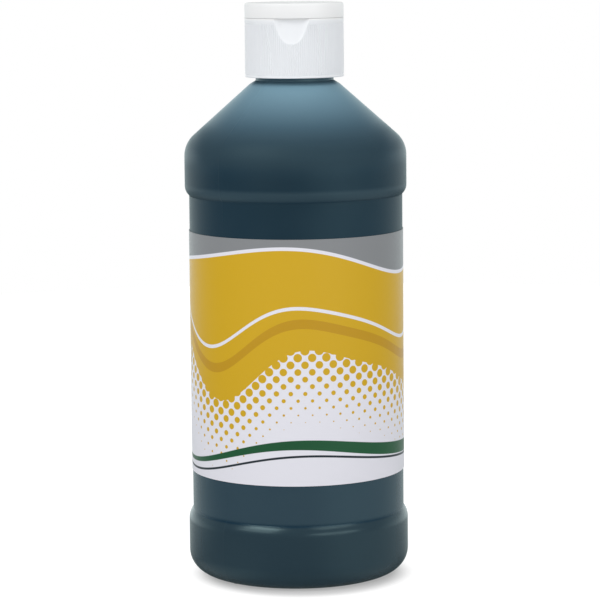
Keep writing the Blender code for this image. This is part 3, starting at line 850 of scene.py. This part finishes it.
def bottle_outline(size):
    """Outside of the bottle from the middle of its base up to the neck's rim."""
    rings = 10
    dome = []
    for i in range(1, rings + 1):
        t = i / rings
        dome.append((size.stand_radius * t, size.base_rise * math.cos(t * math.pi / 2)))
    heel_centre = (size.wide_radius - size.heel_round, size.heel_round)
    heel = arc(heel_centre, size.heel_round, -math.pi / 2, 0, 12)

    convex, concave = size.heel_convex, size.heel_concave
    sweep = step_sweep(size, convex, concave)
    panel_foot = size.heel_top + step_height(size, convex, concave)
    heel_step = arc((size.wide_radius - convex, size.heel_top), convex, 0, sweep, 8)
    hollow_centre = (size.panel_radius + concave, panel_foot)
    heel_step += arc(hollow_centre, concave, math.pi + sweep, math.pi, 8)[1:]

    convex, concave = size.band_convex, size.band_concave
    sweep = step_sweep(size, convex, concave)
    panel_head = size.band_bottom - step_height(size, convex, concave)
    hollow_centre = (size.panel_radius + concave, panel_head)
    band_step = arc(hollow_centre, concave, math.pi, math.pi - sweep, 8)
    band_step += arc((size.wide_radius - convex, size.band_bottom), convex, -sweep, 0, 8)[1:]

    lean = math.pi / 2 - size.shoulder_slope
    shoulder_centre = (size.wide_radius - size.shoulder_round, size.band_top)
    shoulder = arc(shoulder_centre, size.shoulder_round, 0, lean, 14)
    cone_radius, cone_height = shoulder[-1]
    ledge_height = cone_height + (cone_radius - size.ledge_radius) * math.tan(size.shoulder_slope)

    lean = math.pi / 2 - size.ledge_slope
    fillet_radius = size.neck_radius + size.neck_fillet
    foot_radius = fillet_radius - size.neck_fillet * math.cos(lean)
    foot_height = ledge_height + (size.ledge_radius - foot_radius) * math.tan(size.ledge_slope)
    fillet_centre = (fillet_radius, foot_height + size.neck_fillet * math.sin(lean))
    fillet = arc(fillet_centre, size.neck_fillet, math.pi + lean, math.pi, 5)
    ledge = rounded((size.ledge_radius, ledge_height), shoulder[-1], fillet[0], size.ledge_round)

    rim_centre = (size.neck_radius - size.rim_round, BOTTLE_HIGH.z - size.rim_round)
    rim = arc(rim_centre, size.rim_round, 0, math.pi / 2, 5)
    return dome + heel + heel_step + band_step + shoulder + ledge + fillet + rim


def cap_outline(cap):
    """Section of the cap base, round from the foot of its skirt and back to it."""
    foot, edge = CAP_LOW.z, cap.edge
    rib_root = cap.radius - cap.rib_height
    rib_foot = foot + cap.foot_band
    rib_head = cap.ledge - cap.head_band
    snap_top = SEAM + cap.snap_rise
    bead_at = cap.ledge + cap.bead_rise
    collar_foot = cap.deck_underside - cap.collar_drop
    return eased(
        [
            (cap.bore + edge, foot),
            (cap.radius, foot, edge),
            (cap.radius, rib_foot),
            (rib_root, rib_foot + cap.run_out),
            (rib_root, rib_head - cap.run_out),
            (cap.radius, rib_head),
            (cap.radius, cap.ledge, edge / 4),
            (cap.snap_radius, cap.ledge),
            (cap.snap_radius, bead_at - 2 * cap.snap_bead),
            (cap.snap_radius + cap.snap_bead, bead_at, cap.snap_bead),
            (cap.snap_radius, bead_at + 2 * cap.snap_bead),
            (cap.snap_radius, snap_top, edge),
            (cap.snap_inner, snap_top, edge / 2),
            (cap.snap_inner, cap.deck_top, edge),
            (cap.spout_foot, cap.deck_top, edge),
            (cap.spout_lip, CAP_HIGH.z, edge),
            (cap.orifice, CAP_HIGH.z, edge / 2),
            (cap.orifice, cap.deck_underside, edge / 2),
            (cap.collar, cap.deck_underside, edge),
            (cap.collar, collar_foot),
            (cap.bore, collar_foot - (cap.bore - cap.collar)),
            (cap.bore, foot + edge),
            (cap.bore + edge, foot),
        ]
    )


def lid_outline(lid, outside):
    """Section of the lid from the middle of its top round to the tip of its plug."""
    underside = LID_HIGH.z - lid.thickness
    tip = SEAM + lid.plug_drop
    bead_at = lid.foot + lid.bead_rise
    hub = 0.5 * MM  # ring round the axis that a face closes
    return eased(
        [
            (hub, LID_HIGH.z),
            (outside, LID_HIGH.z, lid.top_round),
            (outside, lid.foot, lid.edge / 4),
            (lid.bore, lid.foot, lid.edge / 4),
            (lid.bore - lid.bead, bead_at, lid.bead / 2),
            (lid.bore, bead_at + 2 * lid.bead),
            (lid.bore, underside, lid.edge),
            (lid.plug_root, underside, lid.edge),
            (lid.plug_tip, tip, lid.edge),
            (hub, tip),
        ]
    )


# Pieces


class PAINTBOTTLE_OT_bottle(bpy.types.Operator):
    """Turn the bottle's outline, raise the mould's parting line and give the wall its thickness"""

    bl_idname = "paintbottle.bottle"
    bl_label = "Bottle"

    def execute(self, context):
        settings = context.scene.paint_bottle
        size = settings.bottle
        outline = bottle_outline(size)
        piece = turn("bottle_shell", outline, size.sides)
        fill_ring(piece, *outline[0])
        merge_and_turn_out()
        self.raise_parting_line(piece, size)
        bpy.ops.object.mode_set(mode="OBJECT")
        apply_modifier(piece, "SOLIDIFY", thickness=size.wall, offset=-1.0, use_even_offset=True)
        material = bottle_plastic(size, settings.wall, settings.finish)
        finish(piece, "bottle", "bottle_plastic", material, "bottle")
        return {"FINISHED"}

    def raise_parting_line(self, piece, size):
        """Cuts a narrow strip along the mould's parting plane and lifts its middle."""
        near = 0.002 * MM
        over_stand = 0.1 * MM
        past_label = 0.5 * MM
        under_rim = BOTTLE_HIGH.z - 2 * size.rim_round
        across = Vector((math.cos(size.parting_turn), -math.sin(size.parting_turn), 0.0))
        for side in (-1, 0, 1):
            bpy.ops.mesh.select_all(action="SELECT")
            bpy.ops.mesh.bisect(plane_co=across * side * size.parting_width, plane_no=across)
        cut_rows([LABEL_LOW.z - past_label, LABEL_HIGH.z + past_label])

        def on_line(point):
            behind_label = LABEL_LOW.z - 2 * past_label < point.z < LABEL_HIGH.z + 2 * past_label
            on_plane = abs(point.dot(across)) < near
            return on_plane and over_stand < point.z < under_rim and not behind_label

        select_points(piece, on_line)
        bpy.ops.transform.shrink_fatten(value=size.parting_height)


class PAINTBOTTLE_OT_threads(bpy.types.Operator):
    """Wind the screw threads of the neck and of the cap, half a pitch apart"""

    bl_idname = "paintbottle.threads"
    bl_label = "Screw threads"

    def execute(self, context):
        settings = context.scene.paint_bottle
        size = settings.thread
        foot = size.top - size.turns * size.pitch
        neck_root = settings.bottle.neck_radius - size.root_sink
        outer = self.wind("neck_thread", size, neck_root, size.crest, foot)
        finish(outer, "bottle", "bottle_plastic", bpy.data.materials["milky_polyethylene"])
        cap_root = size.cap_root + size.root_sink
        inner = self.wind("cap_thread", size, cap_root, size.cap_crest, foot - size.pitch / 2)
        finish(inner, "cap", "cap_plastic", bpy.data.materials["white_polypropylene"])
        return {"FINISHED"}

    def wind(self, name, size, root, crest, foot):
        """One ridge from root to crest, wound up from a height."""
        deselect_all()
        bpy.ops.mesh.primitive_plane_add(size=1.0, rotation=(math.pi / 2, 0, 0))
        piece = open_new(name)
        deep = crest - root
        half_way = root + deep / 2
        bpy.ops.transform.resize(value=(abs(deep), 1, 2 * size.half_width), center_override=(0, 0, 0))
        bpy.ops.transform.translate(value=(half_way, 0, foot))
        select_points(piece, lambda p: (p.x - half_way) * deep > 0)
        bpy.ops.transform.resize(value=(1, 1, size.crest_share), center_override=(crest, 0, foot))
        bpy.ops.mesh.select_all(action="SELECT")
        bpy.ops.mesh.delete(type="ONLY_FACE")
        bpy.ops.object.mode_set(mode="OBJECT")
        apply_modifier(
            piece,
            "SCREW",
            axis="Z",
            angle=2 * math.pi * size.turns,
            screw_offset=size.pitch * size.turns,
            steps=size.steps,
            render_steps=size.steps,
        )
        bpy.ops.object.mode_set(mode="EDIT")
        bpy.ops.mesh.select_all(action="SELECT")
        bpy.ops.mesh.fill_holes(sides=4)
        merge_and_turn_out()
        bpy.ops.object.mode_set(mode="OBJECT")
        return piece


class PAINTBOTTLE_OT_fill(bpy.types.Operator):
    """Give the paint and the washer inside the bottle their finish"""

    bl_idname = "paintbottle.fill"
    bl_label = "Paint and washer"

    def execute(self, context):
        colours = context.scene.paint_bottle.finish
        cover(frame["nodes"]["paint"], wet_paint(colours))
        cover(frame["nodes"]["sealing_washer"], washer_foam(colours))
        return {"FINISHED"}


class PAINTBOTTLE_OT_label(bpy.types.Operator):
    """Spin the label's section round the panel and lift its outer end over the lap"""

    bl_idname = "paintbottle.label"
    bl_label = "Label"

    def execute(self, context):
        settings = context.scene.paint_bottle
        size = settings.label
        wrap = 2 * math.pi + size.lap
        deselect_all()
        middle = (LABEL_LOW.z + LABEL_HIGH.z) / 2
        place = (size.radius + size.thickness / 2, 0, middle)
        bpy.ops.mesh.primitive_plane_add(size=1.0, location=place, rotation=(math.pi / 2, 0, 0))
        tall = LABEL_HIGH.z - LABEL_LOW.z
        bpy.context.active_object.scale = (size.thickness, tall, 1.0)
        piece = open_new("label_strip")
        bpy.ops.mesh.spin(steps=size.steps, angle=wrap, center=(0, 0, 0), axis=(0, 0, 1))
        bpy.ops.mesh.select_all(action="SELECT")
        bpy.ops.mesh.normals_make_consistent(inside=False)
        bpy.ops.object.mode_set(mode="OBJECT")
        self.lift_lap(piece, size, wrap)
        piece.rotation_euler.z = size.end - wrap
        choose(piece)
        bpy.ops.object.transform_apply(location=True, rotation=True, scale=True)
        finish(piece, "bottle", "label_paper", label_print(size, settings.finish), "wrap_label")
        return {"FINISHED"}

    def lift_lap(self, piece, size, wrap):
        """Moves each section out by how far along the wrap it comes: sections follow one another."""
        corners = 4
        ramp_start = 2 * math.pi - size.ramp
        for point in piece.data.vertices:
            travelled = wrap * (point.index // corners) / size.steps
            share = min(max((travelled - ramp_start) / size.ramp, 0.0), 1.0)
            eased_share = share * share * (3 - 2 * share)
            reach = point.co.xy.length
            point.co.xy *= (reach + size.climb * eased_share) / reach


class PAINTBOTTLE_OT_cap(bpy.types.Operator):
    """Turn the cap base, raise its ribs, and carve the thumb scoop and the hinge flat"""

    bl_idname = "paintbottle.cap"
    bl_label = "Cap base"

    def execute(self, context):
        settings = context.scene.paint_bottle
        cap = settings.cap
        piece = turn("cap_body", cap_outline(cap), 2 * cap.rib_count)
        merge_and_turn_out()
        self.raise_ribs(piece, cap)
        bpy.ops.object.mode_set(mode="OBJECT")
        carve(piece, self.scoop(cap))
        carve(piece, hinge_flat(settings.lid))
        finish(piece, "cap", "cap_plastic", cap_plastic(settings.finish), "cap_base", sharp=30.0)
        return {"FINISHED"}

    def raise_ribs(self, piece, cap):
        """Insets every other tall face of the skirt and pushes it out."""
        step = math.pi / cap.rib_count
        low = CAP_LOW.z + cap.foot_band + cap.run_out
        high = cap.ledge - cap.head_band - cap.run_out

        def is_rib(middle, normal):
            outward = normal.xy.dot(middle.xy) > 0
            turn_number = math.floor(math.atan2(middle.y, middle.x) / step)
            return outward and low < middle.z < high and turn_number % 2 == 0

        select_faces(piece, is_rib)
        bpy.ops.mesh.inset(thickness=cap.rib_inset, depth=0.0, use_individual=True)
        bpy.ops.transform.shrink_fatten(value=cap.rib_height)
        bpy.ops.mesh.select_mode(type="VERT")

    def scoop(self, cap):
        """Cutter of the thumb scoop: a hollow strip, narrowed and flattened as it is extruded down."""
        columns, rows = 28, 16
        overrun = 1.15  # width of the cutter, as a multiple of the scoop's
        clear = 1.0 * MM  # how far the cutter stands over the seam
        near = 0.01 * MM
        front = -cap.radius
        deselect_all()
        bpy.ops.mesh.primitive_grid_add(
            x_subdivisions=columns,
            y_subdivisions=1,
            size=1.0,
            location=(0, front, SEAM + clear / 2),
            rotation=(math.pi / 2, 0, 0),
        )
        bpy.context.active_object.scale = (2 * overrun * cap.scoop_width, clear, 1.0)
        cutter = open_new("thumb_scoop")
        for column in range(columns + 1):
            across = overrun * (2 * column / columns - 1)
            x = across * cap.scoop_width
            select_points(cutter, lambda p: abs(p.x - x) < near)
            hollow = cap.scoop_depth * (1 - abs(across) ** cap.scoop_flatness)
            bpy.ops.transform.translate(value=(0, x * x / (2 * cap.radius) + hollow, 0))
        select_points(cutter, lambda p: p.z < SEAM + near)
        height, width, depth = SEAM, 1.0, 1.0
        for row in range(1, rows):
            left = 1 - row / rows
            next_height = SEAM - cap.scoop_drop * (1 - left**2)
            next_width, next_depth = left**cap.scoop_taper, left**cap.scoop_rise
            drop = (0, 0, next_height - height)
            bpy.ops.mesh.extrude_region_move(TRANSFORM_OT_translate={"value": drop})
            shares = (next_width / width, next_depth / depth, 1)
            bpy.ops.transform.resize(value=shares, center_override=(0, front, next_height))
            height, width, depth = next_height, next_width, next_depth
        bpy.ops.mesh.select_all(action="SELECT")
        outside = (0, -2 * cap.scoop_depth - clear, 0)
        bpy.ops.mesh.extrude_region_move(TRANSFORM_OT_translate={"value": outside})
        merge_and_turn_out()
        bpy.ops.object.mode_set(mode="OBJECT")
        return cutter


def hinge_flat(lid):
    """Block that planes the flat for the hinge."""
    deselect_all()
    past_wall = 1.0 * MM
    deep = CAP_HIGH.x - lid.flat_depth + past_wall
    tall = lid.flat_below + lid.flat_above
    middle = SEAM + (lid.flat_above - lid.flat_below) / 2
    bpy.ops.mesh.primitive_cube_add(size=1.0, location=(0, lid.flat_depth + deep / 2, middle))
    cutter = bpy.context.active_object
    cutter.name = "hinge_flat"
    cutter.scale = (2 * lid.flat_width, deep, tall)
    bpy.ops.object.transform_apply(location=True, rotation=True, scale=True)
    return cutter


class PAINTBOTTLE_OT_lid(bpy.types.Operator):
    """Turn the snap lid with its plug and carve its half of the hinge flat"""

    bl_idname = "paintbottle.lid"
    bl_label = "Lid"

    def execute(self, context):
        settings = context.scene.paint_bottle
        lid = settings.lid
        outline = lid_outline(lid, LID_HIGH.x)
        piece = turn("snap_lid", outline, lid.sides)
        fill_ring(piece, *outline[0])
        fill_ring(piece, *outline[-1])
        merge_and_turn_out()
        bpy.ops.object.mode_set(mode="OBJECT")
        carve(piece, hinge_flat(lid))
        plastic = bpy.data.materials["white_polypropylene"]
        finish(piece, "lid", "cap_plastic", plastic, "flip_lid", sharp=30.0)
        return {"FINISHED"}


class PAINTBOTTLE_OT_hinge(bpy.types.Operator):
    """Shape the folding film and the two bowed straps that join lid and cap"""

    bl_idname = "paintbottle.hinge"
    bl_label = "Living hinge"

    def execute(self, context):
        lid = context.scene.paint_bottle.lid
        self.film(lid)
        for name, node in (("left_strap", "left_hinge_strap"), ("right_strap", "right_hinge_strap")):
            self.strap(lid, name, node)
        return {"FINISHED"}

    def film(self, lid):
        """Two pads let into the flat, and the thin fold between them."""
        film = self.block("folding_film", FILM_LOW, FILM_HIGH)
        fold = lid.fold_half
        rows = 6  # on each side of the seam
        half_row = fold / (2 * rows)
        cut_rows([SEAM + fold * i / rows for i in range(-rows, rows + 1)])
        middle = (FILM_LOW.y + FILM_HIGH.y) / 2
        select_points(film, lambda p: p.y > middle and abs(p.z - SEAM) < fold - 3 * half_row)
        bpy.ops.transform.translate(value=(0, -lid.fold_depth, 0))
        select_points(film, lambda p: p.y < middle and abs(p.z - SEAM) > fold - half_row)
        bpy.ops.transform.translate(value=(0, -lid.hinge_sink, 0))
        self.join(film, lid, fold, "hinge_film")

    def strap(self, lid, name, node):
        """A strap that bows out and narrows towards its middle, with its ends let into the flat."""
        low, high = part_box(node)
        high = Vector((high.x, low.y + lid.strap_thickness, high.z))
        strap = self.block(name, low, high)
        half = (high.z - low.z) / 2
        middle = (low + high) / 2
        rows = 14
        near = 0.01 * MM
        free = 0.65  # share of the strap that isn't let into the flat
        heights = [low.z + 2 * half * i / rows for i in range(1, rows)]
        cut_rows(heights)
        for height in heights:
            share = 1 - ((height - middle.z) / half) ** 2
            select_points(strap, lambda p: abs(p.z - height) < near)
            bpy.ops.transform.translate(value=(0, lid.strap_bow * share, 0))
            narrow = 1 - lid.strap_waist * share
            bpy.ops.transform.resize(value=(narrow, 1, 1), center_override=(middle.x, 0, 0))
        select_points(strap, lambda p: p.y < middle.y and abs(p.z - middle.z) > free * half)
        bpy.ops.transform.translate(value=(0, -lid.hinge_sink, 0))
        self.join(strap, lid, free * half, node)

    def block(self, name, low, high):
        """A cube shaped to a box, left open for editing."""
        deselect_all()
        bpy.ops.mesh.primitive_cube_add(size=1.0, location=(low + high) / 2)
        bpy.context.active_object.scale = high - low
        return open_new(name)

    def join(self, piece, lid, reach, node):
        """Rounds the edges, shades the piece, gives it the cap's plastic, puts its place into its mesh
        and hides the solid it stands for.
        """
        bpy.ops.object.mode_set(mode="OBJECT")
        apply_modifier(piece, "BEVEL", width=lid.hinge_round, segments=3, limit_method="ANGLE")
        smooth(piece, 40.0)
        cover(piece, bpy.data.materials["white_polypropylene"])
        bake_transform(piece)
        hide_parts(node)


# Stage


class Softbox(NamedTuple):
    """A rectangular lamp, or a card that only gloss picks up"""

    name: str
    middle: tuple  # in metres
    size: tuple  # width and height in metres
    power: float  # in watts
    only_gloss: bool = False


SOFTBOXES = (
    Softbox("left_softbox", (-0.84, -0.94, 1.38), (0.95, 0.38), 5.4),
    Softbox("left_card", (-0.95, -1.02, 0.90), (1.1, 0.65), 4.4, only_gloss=True),
    Softbox("right_softbox", (0.94, -0.70, 1.50), (1.2, 0.56), 3.7),
    Softbox("right_card", (1.04, -1.15, 0.41), (1.4, 0.3), 2.9, only_gloss=True),
)

# Fades of the studio's bright side, as gloss shows it: direction, start, end, and the share at each
BRIGHT_SIDE_FADES = (
    ("down", 0.1, 0.24, 1.0, 0.28),
    ("down", 0.2, 0.45, 1.0, 0.15),
    ("up", 0.06, 0.2, 1.0, 0.6),
    ("up", 0.34, 0.6, 1.0, 0.17),
    ("right", -0.5, 0.5, 1.05, 0.93),
)


class PAINTBOTTLE_OT_stage(bpy.types.Operator):
    """Set the floor, the light and the camera"""

    bl_idname = "paintbottle.stage"
    bl_label = "Stage"

    def execute(self, context):
        stage = context.scene.paint_bottle.stage
        self.floor(stage)
        self.world(context.scene, stage)
        for softbox in SOFTBOXES:
            self.lamp(context.scene, stage, softbox)
        self.camera(context.scene, stage)
        context.scene.view_settings.view_transform = "Standard"
        return {"FINISHED"}

    def floor(self, stage):
        """A pale disc, clear from below, that is seen as white with the bottle's shadow on it: partly
        the real shadow, partly painted by adding less white round a point just in front of the bottle.
        """
        deselect_all()
        place = (0, stage.floor_back, -stage.floor_gap)
        bpy.ops.mesh.primitive_circle_add(
            vertices=128, radius=stage.floor_radius, fill_type="NGON", location=place
        )
        floor = open_new("floor")
        bpy.ops.object.mode_set(mode="OBJECT")
        shader = Shader("pale_floor")
        path = shader.add("ShaderNodeLightPath").outputs
        tint = shader.mix(path["Is Camera Ray"], tuple(stage.floor), tuple(stage.floor_seen))
        underside = shader.add("ShaderNodeNewGeometry").outputs["Backfacing"]
        where, _ = shader.place("Object")
        # Added white, least round a point just in front of the bottle: painted shadow over the real one
        painted_shadow_middle = tuple(stage.painted_shadow_middle)
        gap = shader.add("ShaderNodeVectorMath", {0: where, 1: painted_shadow_middle}, operation="DISTANCE")
        away = gap.outputs["Value"]
        white = shader.fade(away, 0.0, stage.painted_shadow_fade, stage.floor_glow, stage.floor_clear)
        seen = shader.calc("MAXIMUM", path["Is Camera Ray"], path["Is Glossy Ray"])
        seen = shader.calc("MAXIMUM", seen, path["Is Transmission Ray"])
        shader.set(Base_Color=tint, Roughness=0.9, Specular_IOR_Level=0.1)
        shader.set(Alpha=shader.calc("SUBTRACT", 1.0, underside))
        shader.set(Emission_Color=(1.0, 1.0, 1.0, 1.0))
        shader.set(Emission_Strength=shader.calc("MULTIPLY", seen, white))
        cover(floor, shader.material)
        floor.visible_glossy = False

    def world(self, scene, stage):
        """An even fill, white where it is seen, and a studio with a bright back in the gloss."""
        scene.world = bpy.data.worlds.new("studio")
        scene.world.use_nodes = True
        nodes = Nodes(scene.world.node_tree)
        _, (right, along, up) = nodes.place("Generated")
        path = nodes.add("ShaderNodeLightPath").outputs
        fill = nodes.ramp(along, -1.0, 1.0, stage.front_fill, stage.back_fill, smoothly=False)
        strength = nodes.blend(path["Is Glossy Ray"], fill, self.studio(nodes, stage, right, along, up))
        clear = nodes.calc("MAXIMUM", path["Is Camera Ray"], path["Is Transmission Ray"])
        strength = nodes.blend(clear, strength, 1.0)
        tint = nodes.mix(path["Is Glossy Ray"], (1.0, 1.0, 1.0), tuple(stage.gloss_tint))
        background = nodes.tree.nodes["Background"]
        nodes.put(background.inputs["Strength"], strength)
        nodes.put(background.inputs["Color"], tint)

    def studio(self, nodes, stage, right, along, up):
        """Brightness of the studio by direction: its bright side, its right side and the table."""
        calc, ramp = nodes.calc, nodes.ramp
        down = calc("MULTIPLY", up, -1.0)
        directions = {"right": right, "up": up, "down": down}
        bright = ramp(along, -0.1, 1.0, stage.dark_side, stage.bright_side, smoothly=False)
        for name, start, end, first, last in BRIGHT_SIDE_FADES:
            bright = calc("MULTIPLY", bright, ramp(directions[name], start, end, first, last))
        beside = ramp(right, 0.2, 0.9, 0.0, stage.right_side)
        beside = calc("MULTIPLY", beside, ramp(down, 0.0, 0.12, 0.45, 1.0))
        table = ramp(down, 0.25, 0.8, 0.0, stage.table)
        table_sides = ramp(calc("ABSOLUTE", right), 0.3, 0.8, 0.0, stage.table_sides)
        table = calc("MULTIPLY_ADD", ramp(down, 0.15, 0.4), table_sides, table)
        return calc("MAXIMUM", calc("MAXIMUM", bright, beside), table)

    def lamp(self, scene, stage, softbox):
        """A softbox that faces the bottle's axis."""
        light = bpy.data.lights.new(softbox.name, "AREA")
        light.shape = "RECTANGLE"
        light.size, light.size_y = softbox.size
        light.energy = softbox.power
        lamp = bpy.data.objects.new(softbox.name, light)
        scene.collection.objects.link(lamp)
        lamp.location = softbox.middle
        aim = Vector((0, 0, stage.lamp_aim)) - lamp.location
        lamp.rotation_euler = aim.to_track_quat("-Z", "Y").to_euler()
        lamp.visible_diffuse = not softbox.only_gloss

    def camera(self, scene, stage):
        """A camera that orbits the bottle, looks down at it and leans a little."""
        lens = bpy.data.cameras.new("camera")
        lens.lens = stage.lens
        lens.shift_x = stage.shift
        lens.clip_start = 0.01
        camera = bpy.data.objects.new("camera", lens)
        scene.collection.objects.link(camera)
        place = Matrix.Translation((0, -stage.distance, stage.height))
        aim = Matrix.Rotation(math.pi / 2 - stage.tilt, 4, "X")
        orbit = Matrix.Rotation(stage.orbit, 4, "Z")
        camera.matrix_world = orbit @ place @ aim @ Matrix.Rotation(stage.roll, 4, "Z")
        scene.camera = camera


# Sidebar and registration

OPERATORS = (
    PAINTBOTTLE_OT_bottle,
    PAINTBOTTLE_OT_fill,
    PAINTBOTTLE_OT_label,
    PAINTBOTTLE_OT_cap,
    PAINTBOTTLE_OT_threads,
    PAINTBOTTLE_OT_lid,
    PAINTBOTTLE_OT_hinge,
    PAINTBOTTLE_OT_stage,
)


class PAINTBOTTLE_PT_sidebar(bpy.types.Panel):
    """Lists the steps that make the paint bottle"""

    bl_idname = "PAINTBOTTLE_PT_sidebar"
    bl_label = "Paint Bottle"
    bl_space_type = "VIEW_3D"
    bl_region_type = "UI"
    bl_category = "Paint Bottle"

    def draw(self, context):
        for operator in OPERATORS:
            self.layout.operator(operator.bl_idname)


CLASSES = (
    PAINTBOTTLE_PG_bottle,
    PAINTBOTTLE_PG_thread,
    PAINTBOTTLE_PG_label,
    PAINTBOTTLE_PG_cap,
    PAINTBOTTLE_PG_lid,
    PAINTBOTTLE_PG_finish,
    PAINTBOTTLE_PG_wall,
    PAINTBOTTLE_PG_stage,
    PAINTBOTTLE_PG_settings,
    *OPERATORS,
    PAINTBOTTLE_PT_sidebar,
)


def register():
    for cls in CLASSES:
        bpy.utils.register_class(cls)
    bpy.types.Scene.paint_bottle = PointerProperty(type=PAINTBOTTLE_PG_settings)


def unregister():
    del bpy.types.Scene.paint_bottle
    for cls in reversed(CLASSES):
        bpy.utils.unregister_class(cls)


def main():
    register()
    bpy.ops.paintbottle.bottle()
    bpy.ops.paintbottle.fill()
    bpy.ops.paintbottle.label()
    bpy.ops.paintbottle.cap()
    bpy.ops.paintbottle.threads()
    bpy.ops.paintbottle.lid()
    bpy.ops.paintbottle.hinge()
    bpy.ops.paintbottle.stage()


if __name__ == "__main__":
    main()
